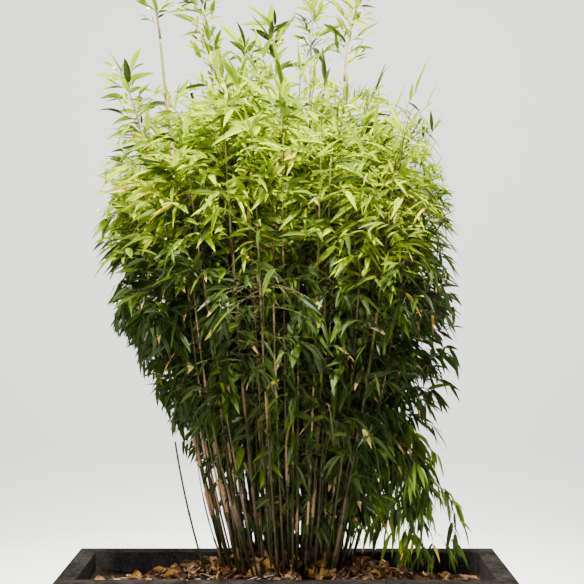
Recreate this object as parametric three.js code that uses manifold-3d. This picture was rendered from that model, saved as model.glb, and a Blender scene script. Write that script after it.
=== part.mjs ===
// A clumping bamboo in a long stone trough: slender canes that fan out of one clump, and the sprays of
// leaves that they carry in four tiers, with a spray at the tips of the inner canes and a tuft at the tip of
// each of the tallest. Millimetres, +Z up, +Y away from the front wall. The origin is the middle of the
// trough's flat underside.
import * as THREE from "three";
import { mergeVertices } from "three/addons/utils/BufferGeometryUtils.js";
import Module from "manifold-3d";

const wasm = await Module();
wasm.setup();

// The trough: straight walls of stone slabs, with a butt joint between slabs
const TROUGH_LENGTH = 1400;
const TROUGH_DEPTH = 500;
const TROUGH_HEIGHT = 450;
const WALL = 60;
const FLOOR = 55;
const SLAB_LENGTH = 600;
const JOINT_WIDTH = 4;
const JOINT_CUT = 5;

// The soil, which rises to a low flat-topped mound round the clump
const SEAT_GAP = 0.3;
const SOIL_TOP = 388;
const MOUND_TOP = 432;
const MOUND_LENGTH = 560;
const MOUND_DEPTH = 340;
const MOUND_FOOT_SHARE = 1.08;
const MOUND_SIDES = 24;
const MOUND_SUNK = 20;

// Dead leaves that lie on the soil
const LITTER_COUNT = 20;
const LITTER_LENGTH = 62;
const LITTER_WIDTH = 40;
const LITTER_SUNK = 6;
const LITTER_TURN = 2.1;
const LITTER_CLEAR_OF_CANES = 57;

// The canes: feet in a sunflower pattern, leaning out of the clump and straightening as they rise
const CANES = 28;
const GOLDEN_ANGLE = Math.PI * (3 - Math.sqrt(5));
const CLUMP_TURN = 2.05;
const CLUMP_HALF_LENGTH = 205;
const CLUMP_HALF_DEPTH = 128;
const LEAN_LENGTH = 320;
const LEAN_DEPTH = 300;
const LEAN_START = 0.45;
const LEAN_BEND = 0.35;
const CROWN_DRIFT = -30;
const CANE_HEIGHT = 1450;
const CANE_HEIGHT_SPREAD = 90;
const OUTER_CANES_LOWER = 170;
const CANE_RADIUS = 4.4;
const CANE_RADIUS_SPREAD = 2.4;
const CANE_TIP_SHARE = 0.34;
const CANE_SIDES = 6;
const CANE_STEPS = 5;
// The canes that overtop the crown: where each one's tip stands along the trough, and its height
const LEADERS = [
  { x: -450, height: 1310 },
  { x: -384, height: 1660 },
  { x: -244, height: 1580 },
  { x: -120, height: 1450 },
  { x: -30, height: 1500 },
  { x: 82, height: 1640 },
  { x: 185, height: 1560 },
];
const LEADER_RADIUS = 6.5;
const LEADER_TIP_SHARE = 0.62;
// The last cane stands apart from the clump, short and bare
const STRAY = {
  foot: new THREE.Vector2(-253, -50),
  lean: new THREE.Vector2(-95, -20),
  height: 420,
  radius: 3.4,
};

// The sprays: each tier's number and height on the cane, lower towards +X, and how far its stem reaches,
// rises and nods. Towards +X the stem also spreads further and drapes.
const TIERS = [
  {
    name: "skirt",
    count: 5,
    turn: 0,
    height: 470,
    lower: 70,
    reach: 120,
    spread: 50,
    rise: 130,
    nod: 170,
    drape: 300,
  },
  {
    name: "middle",
    count: 6,
    turn: 0.5,
    height: 690,
    lower: 0,
    reach: 170,
    spread: 0,
    rise: 300,
    nod: 80,
    drape: 0,
  },
  {
    name: "upper",
    count: 5,
    turn: 0.25,
    height: 950,
    lower: 0,
    reach: 170,
    spread: 0,
    rise: 310,
    nod: 60,
    drape: 0,
  },
  {
    name: "canopy",
    count: 4,
    turn: 0.5,
    height: 1130,
    lower: 0,
    reach: 90,
    spread: 0,
    rise: 330,
    nod: 30,
    drape: 0,
  },
];
const STEM_RADIUS = 4.5;
const STEM_TAPER = 0.4;
const STEM_FOOT = 14;
const TWIG_RADIUS = 3.4;
const TWIG_TAPER = 0.4;
const TWIG_NECK = 9;
const TWIG_DROOP = 0.35;

// What each kind of spray carries. Its leaves droop, or rise where the droop is negative, and roll about
// their midribs. Its twigs run a little ahead along the stem, with rounds of leaves behind their ends.
const SPRAY = {
  twigs: 6,
  twigLength: 200,
  ahead: 0.35,
  round: false,
  rounds: 4,
  leaves: 15,
  length: 265,
  breadth: 64,
  droop: 0.7,
  roll: 0.5,
};
const CREST = {
  twigs: 6,
  twigLength: 140,
  ahead: 0.7,
  round: true,
  rounds: 4,
  leaves: 15,
  length: 225,
  breadth: 54,
  droop: -0.15,
  roll: 0.9,
};
const TUFT = {
  twigs: 7,
  twigLength: 60,
  ahead: 1.1,
  round: true,
  rounds: 3,
  leaves: 11,
  length: 165,
  breadth: 38,
  droop: -0.6,
  roll: 0.9,
};

const CREST_LENGTH = 190;
const CREST_COUNT = 3;
const TUFT_LENGTH = 290;
const TIP_NOD = 45;

// How clear a twig or leaf keeps of its neighbours, and the turns and sizes that it tries
const CLEAR = 1.2;
const BLADE_START = 0.5;
const SHORTEST_EDGE = 0.02;
const TWIG_TRIES = [0, 0.4, -0.4, 0.8, -0.8, 1.2, -1.2, 1.6];
const LEAF_TRIES = 5;
const SHRINK = 0.09;

// A leaf: where it is widest, its arch and thickness as shares of its length, and how far its foot is sunk
const LEAF_WIDEST = 0.42;
const LEAF_ARCH = 0.05;
const LEAF_THICKNESS = 0.022;
const LEAF_SUNK = 5;

// The crown: its greatest half width, and how much of that it keeps at each height above the soil
const CROWN_HALF_LENGTH = 590;
const CROWN_HALF_DEPTH = 560;
const CROWN_WIDEST = 900;
const CROWN_TOP = 1640;
const CROWN_FOOT_SHARE = 0.2;
const CROWN_EAST_SHARE = 0.86;
const RIM_CLEAR = 14;
const WALL_CLEAR = 40;

const STONE = new THREE.MeshStandardMaterial({ color: 0x3a3937, roughness: 0.9, metalness: 0 });
const SOIL = new THREE.MeshStandardMaterial({ color: 0x3a2a20, roughness: 1, metalness: 0 });
const CANE = new THREE.MeshStandardMaterial({ color: 0x7d7a3c, roughness: 0.6, metalness: 0 });
const FOLIAGE = {
  skirt: new THREE.MeshStandardMaterial({ color: 0x2f5420, roughness: 0.6, metalness: 0 }),
  middle: new THREE.MeshStandardMaterial({ color: 0x3f6d24, roughness: 0.6, metalness: 0 }),
  upper: new THREE.MeshStandardMaterial({ color: 0x5f8c29, roughness: 0.6, metalness: 0 }),
  canopy: new THREE.MeshStandardMaterial({ color: 0x7fab30, roughness: 0.6, metalness: 0 }),
  crest: new THREE.MeshStandardMaterial({ color: 0x8fb935, roughness: 0.6, metalness: 0 }),
  tip: new THREE.MeshStandardMaterial({ color: 0x9cc238, roughness: 0.6, metalness: 0 }),
};

const UP = new THREE.Vector3(0, 0, 1);

// A number from 0 to 1 that is always the same for the same two numbers.
function dice(a, b) {
  const s = Math.sin(a * 12.9898 + b * 78.233) * 43758.5453;
  return s - Math.floor(s);
}

// A number from -1 to 1, by the same rule.
function sway(a, b) {
  return 2 * dice(a, b) - 1;
}

function solidOf(geometry) {
  const bare = geometry.clone();
  bare.deleteAttribute("normal");
  bare.deleteAttribute("uv");
  const merged = mergeVertices(bare, 1e-4);
  return new wasm.Manifold(
    new wasm.Mesh({
      numProp: 3,
      vertProperties: new Float32Array(merged.attributes.position.array),
      triVerts: new Uint32Array(merged.index.array),
    }),
  );
}

function shortestEdge(solid) {
  const { vertProperties, triVerts } = solid.getMesh();
  const spot = (corner) => new THREE.Vector3().fromArray(vertProperties, 3 * triVerts[corner]);
  let shortest = Infinity;
  for (let corner = 0; corner < triVerts.length; corner++) {
    const next = corner % 3 === 2 ? corner - 2 : corner + 1;
    shortest = Math.min(shortest, spot(corner).distanceTo(spot(next)));
  }
  return shortest;
}

// The two solids as one body, or nothing where they miss, seal a hollow or leave too short an edge.
function joined(solid, piece) {
  const whole = solid.add(piece);
  return whole.decompose().length === 1 && shortestEdge(whole) > SHORTEST_EDGE ? whole : undefined;
}

function meshOf(name, solid, material) {
  const raw = solid.getMesh();
  const geometry = new THREE.BufferGeometry();
  geometry.setAttribute("position", new THREE.BufferAttribute(new Float32Array(raw.vertProperties), 3));
  geometry.setIndex(new THREE.BufferAttribute(new Uint32Array(raw.triVerts), 1));
  const flat = geometry.toNonIndexed();
  flat.computeVertexNormals();
  const mesh = new THREE.Mesh(flat, material);
  mesh.name = name;
  return mesh;
}

// A place on a line of points, and the way that the line runs there.
function alongLine(points, share) {
  const at = share * (points.length - 1);
  const row = Math.min(Math.floor(at), points.length - 2);
  const [from, to] = [points[row], points[row + 1]];
  return { place: from.clone().lerp(to, at - row), way: to.clone().sub(from).normalize() };
}

// A cylinder bent along a line of points, with its own half width and half depth at each point, or a spindle
// that comes to a point at both ends. One corner of its section looks along `down`, and its first ring is
// square to `firstTangent` if that is given.
function limb({ points, widths, depths = widths, sides = 3, pointed = false, down, firstTangent }) {
  const steps = points.length - 1;
  const tangents = points.map((p, i) =>
    points[Math.min(i + 1, steps)].clone().sub(points[Math.max(i - 1, 0)]).normalize(),
  );
  if (firstTangent) tangents[0] = firstTangent;
  const geometry = pointed
    ? new THREE.SphereGeometry(1, sides, steps, Math.PI / 2)
    : new THREE.CylinderGeometry(1, 1, 1, sides, steps);
  const place = geometry.attributes.position;
  for (let i = 0; i < place.count; i++) {
    const [x, y, z] = [place.getX(i), place.getY(i), place.getZ(i)];
    const rise = pointed ? 1 - Math.acos(y) / Math.PI : y + 0.5;
    const row = Math.round(rise * steps);
    const out = Math.hypot(x, z) > 1e-6 ? 1 : 0;
    const turn = Math.atan2(x, z);
    const across = tangents[row].clone().cross(down).normalize();
    const deep = across.clone().cross(tangents[row]);
    const spot = points[row].clone();
    spot.addScaledVector(across, Math.sin(turn) * widths[row] * out);
    spot.addScaledVector(deep, Math.cos(turn) * depths[row] * out);
    place.setXYZ(i, spot.x, spot.y, spot.z);
  }
  return geometry;
}

// The three places that shape a leaf: its foot, its widest place, which the arch lifts, and its tip.
function leafPoints({ root, along, face, length }) {
  const widest = root.clone().addScaledVector(along, length * LEAF_WIDEST);
  widest.addScaledVector(face, length * LEAF_ARCH);
  return [root, widest, root.clone().addScaledVector(along, length)];
}

// A leaf of eight faces, whose foot is sunk back along the twig's middle line. `room` makes it stouter all
// round, and `start` leaves out that share of the stretch from its foot to its widest place.
function leafGeometry(leaf, room = 0, start = 0) {
  const { length, breadth, face, along, back } = leaf;
  const [root, widest, tip] = leafPoints(leaf);
  const foot = start > 0 ? root.clone().lerp(widest, start) : root.clone().addScaledVector(back, LEAF_SUNK);
  return limb({
    points: [foot, widest, tip.addScaledVector(along, 2 * room)],
    widths: [0, breadth / 2 + room, 0],
    depths: [0, (length * LEAF_THICKNESS) / 2 + room, 0],
    sides: 4,
    pointed: true,
    down: face.clone().negate(),
  });
}

// A three-sided twig that ends in a leaf, with the same `room`. `start` leaves out its first points.
function twigGeometry({ points, leaf, down }, room = 0, start = 0) {
  const [, widest, tip] = leafPoints(leaf);
  const end = tip.addScaledVector(leaf.along, 2 * room);
  const thick = [1, 1 - TWIG_TAPER / 2, 1 - TWIG_TAPER].map((share) => TWIG_RADIUS * share + room);
  const leafWidth = leaf.breadth / Math.sqrt(3) + room;
  const leafDepth = leaf.length * LEAF_THICKNESS * 0.6 + room;
  const shortened = (list) => [0, ...list, 0].slice(start).fill(0, 0, 1);
  return limb({
    points: [...points, widest, end].slice(start),
    widths: shortened([...thick, leafWidth]),
    depths: shortened([...thick, leafDepth]),
    pointed: true,
    down,
  });
}

// How wide the crown may be at a height above the soil, as a share of its greatest half width. It spreads
// wider at its foot towards +X, where the lowest spray hangs over the soil.
function crownShare(height, east) {
  if (height < CROWN_WIDEST) {
    const foot = CROWN_FOOT_SHARE + CROWN_EAST_SHARE * east ** 4;
    return foot + ((1 - foot) * height) / CROWN_WIDEST;
  }
  const t = Math.min(1, (height - CROWN_WIDEST) / (CROWN_TOP - CROWN_WIDEST));
  return Math.sqrt(1 - t ** 4);
}

function insideCrown(spot) {
  const height = spot.z - MOUND_TOP;
  const [soilX, soilY] = [TROUGH_LENGTH, TROUGH_DEPTH].map((side) => side / 2 - WALL - WALL_CLEAR);
  const overSoil = Math.abs(spot.x) < soilX && Math.abs(spot.y) < soilY;
  const lowest = overSoil ? MOUND_TOP + RIM_CLEAR : TROUGH_HEIGHT + RIM_CLEAR;
  if (spot.z < lowest || height > CROWN_TOP) return false;
  const share = crownShare(height, Math.max(0, spot.x / Math.hypot(spot.x, spot.y)));
  const x = (spot.x - (CROWN_DRIFT * height) / CROWN_WIDEST) / (CROWN_HALF_LENGTH * share);
  const y = spot.y / (CROWN_HALF_DEPTH * share);
  return x * x + y * y < 1;
}

// The canes, as plain facts: the foot, the way and distance that the top leans, the height, the radius, and
// the share of it that the tip keeps.
function caneFacts(i) {
  const share = Math.sqrt((i + 0.5) / CANES);
  const turn = i * GOLDEN_ANGLE + CLUMP_TURN;
  const [east, north] = [Math.cos(turn), Math.sin(turn)];
  const lean = LEAN_START * share + (1 - LEAN_START) * share * share;
  return {
    name: "cane_" + String(i + 1).padStart(2, "0"),
    foot: new THREE.Vector2(CLUMP_HALF_LENGTH * share * east, CLUMP_HALF_DEPTH * share * north),
    lean: new THREE.Vector2(LEAN_LENGTH * lean * east + CROWN_DRIFT, LEAN_DEPTH * lean * north),
    height: CANE_HEIGHT + CANE_HEIGHT_SPREAD * sway(i, 1) - OUTER_CANES_LOWER * share * share,
    radius: CANE_RADIUS + CANE_RADIUS_SPREAD * dice(i, 2),
    tipShare: CANE_TIP_SHARE,
  };
}

// Each leader is the cane whose tip comes nearest to the leader's place, grown on to the leader's height and
// stouter up to its tip.
function markLeaders(all) {
  return LEADERS.map((leader) => {
    const off = (cane) => Math.abs(cane.foot.x + cane.lean.x - leader.x) + (cane.leader ? Infinity : 0);
    const cane = all.reduce((best, next) => (off(next) < off(best) ? next : best));
    cane.leader = true;
    cane.lean.x = leader.x - cane.foot.x;
    cane.height = leader.height;
    cane.radius = LEADER_RADIUS;
    cane.tipShare = LEADER_TIP_SHARE;
    return cane;
  });
}

// A point on a cane's middle line: it leans most at its foot, and stands more upright as it rises.
function canePoint(cane, share) {
  const out = share * (1 + LEAN_BEND * (1 - share));
  return new THREE.Vector3(
    cane.foot.x + cane.lean.x * out,
    cane.foot.y + cane.lean.y * out,
    MOUND_TOP + SEAT_GAP + cane.height * share,
  );
}

function caneRadius(cane, share) {
  return cane.radius * (1 - (1 - cane.tipShare) * share);
}

// How far a cane's section reaches towards a level direction: it has a corner towards +X.
function caneReach(cane, share, way) {
  const corner = (2 * Math.PI) / CANE_SIDES;
  const turn = Math.atan2(way.y, way.x) / corner;
  return caneRadius(cane, share) * Math.cos((turn - Math.round(turn)) * corner);
}

// The straight stretches that a cane is built from.
function caneLine(cane) {
  return Array.from({ length: CANE_STEPS + 1 }, (_, i) => canePoint(cane, i / CANE_STEPS));
}

// A piece of the plant: what it belongs to, its solid, and the box round it.
function makePiece(owner, geometry) {
  geometry.computeBoundingBox();
  return { owner, solid: solidOf(geometry), box: geometry.boundingBox };
}

// Every piece that stands so far.
const built = [];

// Whether a new piece keeps clear. `room` is its stouter form, for what belongs to other nodes, and `blade`
// is the piece without its foot, for what belongs to its own.
function isClear(room, blade) {
  return built.every((piece) => {
    const probe = piece.owner === room.owner ? blade : room;
    return !probe.box.intersectsBox(piece.box) || probe.solid.intersect(piece.solid).isEmpty();
  });
}

const canes = Array.from({ length: CANES }, (_, i) => caneFacts(i));
Object.assign(canes[CANES - 1], STRAY);
const leaders = markLeaders(canes.slice(0, -1));

function caneMesh(cane) {
  const points = caneLine(cane);
  const widths = points.map((_, i) => caneRadius(cane, i / CANE_STEPS));
  const piece = makePiece(
    cane.name,
    limb({ points, widths, sides: CANE_SIDES, down: new THREE.Vector3(1, 0, 0), firstTangent: UP }),
  );
  built.push(piece);
  return meshOf(cane.name, piece.solid, CANE);
}

// The bare stem of one spray, on whose line twigs may grow.
function startSpray(plan) {
  const { name, seed, points, start, form, inside } = plan;
  const widths = points.map((_, i) => STEM_RADIUS * (1 - (STEM_TAPER * i) / (points.length - 1)));
  const down = Math.abs(start.z) > 0.7 ? new THREE.Vector3(1, 0, 0) : UP.clone().negate();
  const piece = makePiece(name, limb({ points, widths, down, firstTangent: start }));
  built.push(piece);
  return { name, seed, form, inside, solid: piece.solid, twigs: [], leaves: 0, line: points.slice(1) };
}

// Joins a twig or leaf to its spray, unless it would leave the crown, come near another piece or join badly.
function grow(spray, tip, shape) {
  if (!spray.inside(tip)) return false;
  const room = makePiece(spray.name, shape(CLEAR, 0));
  const blade = makePiece(spray.name, shape(0, BLADE_START));
  if (!isClear(room, blade)) return false;
  const piece = makePiece(spray.name, shape(0, 0));
  const whole = joined(spray.solid, piece.solid);
  if (!whole) return false;
  spray.solid = whole;
  built.push(piece);
  return true;
}

// A twig that droops from its place on the stem and ends in a leaf.
function growTwig(spray, seed, place, heading, length) {
  const { form } = spray;
  const points = [0, TWIG_NECK / length, 0.5, 1].map((t) => {
    const spot = place.clone().addScaledVector(heading, length * t);
    spot.z -= TWIG_DROOP * length * t * t;
    return spot;
  });
  const along = points[3].clone().sub(points[2]).normalize();
  along.z -= form.droop * (0.3 + 0.6 * dice(seed, 4));
  along.normalize();
  const down = along.clone().cross(UP).multiplyScalar(form.roll * sway(seed, 8)).sub(UP).normalize();
  const face = down.clone().negate().addScaledVector(along, down.dot(along)).normalize();
  const leaf = { root: points[3], along, face, length: form.length, breadth: form.breadth };
  const tip = leafPoints(leaf)[2];
  const shape = (room, start) => twigGeometry({ points, leaf, down }, room, start > 0 ? 2 : 0);
  if (!grow(spray, tip, shape)) return false;
  spray.twigs.push({ points: points.slice(1), seed });
  return true;
}

// Twigs leave the stem to left and right in turn, or all round it.
function growTwigs(spray) {
  const { form, line, seed } = spray;
  for (let k = 0; k < form.twigs; k++) {
    const at = 0.1 + (0.84 * (k + 0.5 * dice(seed, k))) / (form.twigs - 0.5);
    const { place, way } = alongLine(line, at);
    const flank = way.clone().cross(UP).normalize();
    const length = form.twigLength * (1.1 - 0.4 * at) * (0.85 + 0.3 * dice(seed, k + 40));
    const turn = (form.round ? k * GOLDEN_ANGLE : (k % 2) * Math.PI) + 0.3 * sway(seed, k + 20);
    TWIG_TRIES.some((more, j) => {
      const heading = flank.clone().applyAxisAngle(way, turn + more);
      heading.addScaledVector(way, form.ahead).normalize();
      return growTwig(spray, seed + 3.7 * k, place, heading, length * (1 - SHRINK * j));
    });
  }
}

// A leaf's place on its twig and the way that it points: out to one side, and down by its own weight.
function leafFacts(spray, twig, turn, attempt) {
  const { form } = spray;
  const share = 0.95 - 0.75 * ((turn + 0.5 * dice(twig.seed, turn)) / form.rounds);
  const { place: root, way } = alongLine(twig.points, share);
  const left = (turn + (attempt === 3 ? 1 : 0)) % 2 === 0;
  const hand = (left ? -1 : 1) * (0.8 + 0.5 * dice(twig.seed, turn + 6));
  const along = way.clone().addScaledVector(way.clone().cross(UP).normalize(), hand).normalize();
  along.z -= form.droop * (0.5 + 0.9 * dice(twig.seed, turn + 10 + attempt));
  along.normalize();
  const width = along.clone().cross(UP).normalize();
  width.addScaledVector(width.clone().cross(along), form.roll * sway(twig.seed, turn + 30)).normalize();
  const face = width.clone().cross(along).normalize();
  const scale = 1 - SHRINK * attempt;
  const length = form.length * scale * (0.88 + 0.24 * dice(twig.seed, turn + 15));
  return { root, along, face, back: way.negate(), length, breadth: form.breadth * scale };
}

// One more leaf on each of the spray's twigs, to left and right in turn.
function growLeaves(spray, turn) {
  const { form, twigs } = spray;
  for (const twig of twigs) {
    if (turn >= form.rounds || spray.leaves >= form.leaves) return;
    const placed = Array.from({ length: LEAF_TRIES }).some((_, attempt) => {
      const leaf = leafFacts(spray, twig, turn, attempt);
      return grow(spray, leafPoints(leaf)[2], (room, start) => leafGeometry(leaf, room, start));
    });
    if (placed) spray.leaves += 1;
  }
}

// The cane that stands furthest out in a direction at a height, among those tall enough and not yet used.
function outerCane(way, height, used) {
  const reach = (cane) => {
    if (used.has(cane) || height > 0.92 * cane.height) return -Infinity;
    const spot = canePoint(cane, height / cane.height);
    return spot.x * way.x + spot.y * way.y - 0.8 * Math.abs(spot.x * way.y - spot.y * way.x);
  };
  const cane = canes.reduce((best, next) => (reach(next) > reach(best) ? next : best));
  used.add(cane);
  return cane;
}

// A tier of sprays, one to each direction.
function tierSprays(tier, row) {
  const used = new Set();
  return Array.from({ length: tier.count }, (_, k) => {
    const seed = k + 10 * row + 1;
    const turn = ((k + tier.turn) / tier.count) * Math.PI * 2;
    const way = new THREE.Vector3(Math.cos(turn), Math.sin(turn), 0);
    const height = tier.height + 40 * sway(seed, 3) - tier.lower * way.x;
    const cane = outerCane(way, height, used);
    const share = height / cane.height;
    const { place, way: tangent } = alongLine(caneLine(cane), share);
    const start = way.clone().addScaledVector(tangent, -way.dot(tangent)).normalize();
    const root = place.addScaledVector(start, caneReach(cane, share, start) + SEAT_GAP);
    const foot = root.clone().addScaledVector(start, STEM_FOOT);
    const east = Math.max(0, way.x) ** 4;
    const reach = tier.reach + tier.spread * east;
    const nod = tier.nod + tier.drape * east;
    const points = [root, foot];
    for (const t of [0.25, 0.5, 0.75, 1]) {
      const spot = foot.clone().addScaledVector(way, reach * t);
      spot.z += tier.rise * t * (2 - t) - nod * t ** 3;
      points.push(spot);
    }
    const name = tier.name + "_leaves_" + (k + 1);
    return startSpray({ name, seed, points, start, form: SPRAY, inside: insideCrown });
  });
}

// A spray at a cane's very tip, which carries on from it and nods outward. Nothing bounds its leaves.
function tipSpray(cane, name, seed, length, form) {
  const { place, way: start } = alongLine(caneLine(cane), 1);
  const root = place.addScaledVector(start, SEAT_GAP);
  const nod = new THREE.Vector3(cane.lean.x, cane.lean.y, 0).normalize();
  const points = [0, 0.05, 0.35, 0.7, 1].map((t) =>
    root.clone().addScaledVector(start, length * t).addScaledVector(nod, TIP_NOD * t * t),
  );
  return startSpray({ name, seed, points, start, form, inside: () => true });
}

function troughSolid() {
  const outer = new THREE.BoxGeometry(TROUGH_LENGTH, TROUGH_DEPTH, TROUGH_HEIGHT);
  outer.translate(0, 0, TROUGH_HEIGHT / 2);
  const inner = new THREE.BoxGeometry(TROUGH_LENGTH - 2 * WALL, TROUGH_DEPTH - 2 * WALL, TROUGH_HEIGHT);
  inner.translate(0, 0, TROUGH_HEIGHT / 2 + FLOOR);
  let solid = solidOf(outer).subtract(solidOf(inner));
  for (const x of [-SLAB_LENGTH / 2, SLAB_LENGTH / 2]) {
    for (const y of [-TROUGH_DEPTH / 2, TROUGH_DEPTH / 2]) {
      const face = new THREE.BoxGeometry(JOINT_WIDTH, 2 * JOINT_CUT, TROUGH_HEIGHT - FLOOR);
      face.translate(x, y, FLOOR + (TROUGH_HEIGHT - FLOOR) / 2 + 1);
      const rim = new THREE.BoxGeometry(JOINT_WIDTH, WALL + 2, 2 * JOINT_CUT);
      rim.translate(x, y - Math.sign(y) * (WALL / 2), TROUGH_HEIGHT);
      solid = solid.subtract(solidOf(face)).subtract(solidOf(rim));
    }
  }
  return solid;
}

// The height of the soil's top over a point: flat round the clump, and lower beyond the mound.
function soilHeight(x, y) {
  const reach = Math.hypot(x / (MOUND_LENGTH / 2), y / (MOUND_DEPTH / 2));
  return reach < 1 ? MOUND_TOP : SOIL_TOP;
}

function soilSolid() {
  const length = TROUGH_LENGTH - 2 * (WALL + SEAT_GAP);
  const depth = TROUGH_DEPTH - 2 * (WALL + SEAT_GAP);
  const low = FLOOR + SEAT_GAP;
  const bed = new THREE.BoxGeometry(length, depth, SOIL_TOP - low);
  bed.translate(0, 0, (SOIL_TOP + low) / 2);
  const rise = MOUND_TOP - SOIL_TOP + MOUND_SUNK;
  const mound = new THREE.CylinderGeometry(1, MOUND_FOOT_SHARE, rise, MOUND_SIDES);
  mound.rotateX(Math.PI / 2);
  mound.scale(MOUND_LENGTH / 2, MOUND_DEPTH / 2, 1);
  mound.translate(0, 0, MOUND_TOP - rise / 2);
  let solid = solidOf(bed).add(solidOf(mound));
  for (let i = 0; i < LITTER_COUNT; i++) {
    const share = Math.sqrt((i + 0.5) / LITTER_COUNT);
    const turn = i * GOLDEN_ANGLE;
    const spot = new THREE.Vector3(
      (length / 2 - LITTER_LENGTH) * share * Math.cos(turn),
      (depth / 2 - LITTER_LENGTH) * share * Math.sin(turn),
      0,
    );
    const facing = new THREE.Vector3(Math.cos(i * LITTER_TURN), Math.sin(i * LITTER_TURN), 0);
    const middle = spot.clone().addScaledVector(facing, LITTER_LENGTH / 2);
    const off = ({ foot }) => Math.hypot(foot.x - middle.x, foot.y - middle.y);
    const crowded = canes.some((cane) => off(cane) < LITTER_CLEAR_OF_CANES);
    if (crowded || soilHeight(middle.x, middle.y) !== soilHeight(spot.x, spot.y)) continue;
    const tilt = 0.18 + 0.2 * dice(i, 9);
    const along = facing.clone().multiplyScalar(Math.cos(tilt)).addScaledVector(UP, Math.sin(tilt));
    const face = new THREE.Vector3(facing.y, -facing.x, 0).cross(along);
    const root = spot.setZ(soilHeight(spot.x, spot.y) - LITTER_SUNK);
    const leaf = { root, along, face, back: along, length: LITTER_LENGTH, breadth: LITTER_WIDTH };
    solid = joined(solid, solidOf(leafGeometry(leaf))) ?? solid;
  }
  return solid;
}

const plant = new THREE.Group();
plant.add(meshOf("stone_trough", troughSolid(), STONE));
plant.add(meshOf("soil_and_litter", soilSolid(), SOIL));
for (const cane of canes) plant.add(caneMesh(cane));

const innerCanes = canes.filter((cane) => !cane.leader).slice(0, CREST_COUNT);
const sprays = [
  ...TIERS.flatMap(tierSprays),
  ...innerCanes.map((cane, k) => tipSpray(cane, "crest_leaves_" + (k + 1), 50 + k, CREST_LENGTH, CREST)),
  ...leaders.map((cane, k) => tipSpray(cane, "tip_leaves_" + (k + 1), 60 + k, TUFT_LENGTH, TUFT)),
];
sprays.forEach(growTwigs);
for (let turn = 0; turn < SPRAY.rounds; turn++) sprays.forEach((spray) => growLeaves(spray, turn));
for (const spray of sprays) plant.add(meshOf(spray.name, spray.solid, FOLIAGE[spray.name.split("_")[0]]));

export default plant;
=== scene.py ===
"""A clumping bamboo in a long stone trough: its looks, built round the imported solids.

Metres, +Z up, +Y away from the front wall, with the origin under the middle of the trough. The canes, the
stems of the sprays and the edge of the crown follow the part's own rule, written again here, and carry on to
finer twigs and to leaves of the real size. Every piece is a surface worked out as whole arrays.
"""

import math

import bpy
import numpy as np
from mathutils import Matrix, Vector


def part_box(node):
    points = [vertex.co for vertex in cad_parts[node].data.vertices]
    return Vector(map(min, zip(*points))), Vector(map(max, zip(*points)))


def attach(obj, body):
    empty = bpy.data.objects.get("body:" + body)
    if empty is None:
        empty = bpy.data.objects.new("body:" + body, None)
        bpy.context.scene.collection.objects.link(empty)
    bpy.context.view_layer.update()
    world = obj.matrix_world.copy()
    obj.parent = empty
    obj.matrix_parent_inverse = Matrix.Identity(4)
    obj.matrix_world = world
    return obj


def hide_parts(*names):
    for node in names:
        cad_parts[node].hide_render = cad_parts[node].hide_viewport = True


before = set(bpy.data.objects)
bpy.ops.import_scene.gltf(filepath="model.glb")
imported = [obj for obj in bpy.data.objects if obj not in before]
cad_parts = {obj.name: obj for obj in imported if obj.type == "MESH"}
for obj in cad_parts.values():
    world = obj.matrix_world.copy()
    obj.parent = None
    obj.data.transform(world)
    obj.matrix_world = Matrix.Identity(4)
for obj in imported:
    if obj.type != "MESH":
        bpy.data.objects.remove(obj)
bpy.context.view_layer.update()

# The trough and the bed of soil, as the solids have them
TROUGH_HIGH = np.array(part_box("stone_trough")[1])
SOIL_LOW, SOIL_HIGH = (np.array(corner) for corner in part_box("soil_and_litter"))
SEAT_GAP = 0.0003
WALL = TROUGH_HIGH[0] - SOIL_HIGH[0] - SEAT_GAP
FLOOR = SOIL_LOW[2] - SEAT_GAP
RIM = TROUGH_HIGH[2]
SLAB_LENGTH = 0.6
JOINT_WIDTH = 0.004
JOINT_CUT = 0.005
SOIL_TOP = 0.388
MOUND_TOP = 0.432
MOUND_LENGTH = 0.56
MOUND_DEPTH = 0.34

# The canes
CANES = 28
GOLDEN_ANGLE = math.pi * (3 - math.sqrt(5))
CLUMP_TURN = 2.05
CLUMP_HALF = np.array([0.205, 0.128])
LEAN = np.array([0.32, 0.3])
LEAN_START = 0.45
LEAN_BEND = 0.35
CROWN_DRIFT = -0.03
CANE_HEIGHT = 1.45
CANE_HEIGHT_SPREAD = 0.09
OUTER_CANES_LOWER = 0.17
CANE_RADIUS = 0.0044
CANE_RADIUS_SPREAD = 0.0024
CANE_TIP_SHARE = 0.34
# The leaders: how far along X each tip stands, and its height
LEADERS = (
    (-0.45, 1.31),
    (-0.384, 1.66),
    (-0.244, 1.58),
    (-0.12, 1.45),
    (-0.03, 1.5),
    (0.082, 1.64),
    (0.185, 1.56),
)
LEADER_RADIUS = 0.0065
LEADER_TIP_SHARE = 0.62
STRAY_FOOT = (-0.253, -0.05)
STRAY_LEAN = (-0.095, -0.02)
STRAY_HEIGHT = 0.42
STRAY_RADIUS = 0.0034
STRAY_TIP_SHARE = 0.85

# The slender canes between them, which the solids leave out: some are short, and no tip stands outside the
# low and high bounds
SLENDER_CANES = 150
SLENDER_TURN = 0.7
SLENDER_BEND = 0.9
SLENDER_HEIGHT = 1.29
SLENDER_HEIGHT_SPREAD = 0.22
SLENDER_RADIUS = 0.0028
SLENDER_RADIUS_SPREAD = 0.0018
SHORT_SHARE = 0.42
SHORT_HEIGHT = 0.3
SHORT_HEIGHT_SPREAD = 0.45
SHORT_LEAN = 0.4
SLENDER_TIPS_LOW = (-0.36, -0.38)
SLENDER_TIPS_HIGH = (0.42, 0.38)
INTERNODE = 0.19

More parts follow.
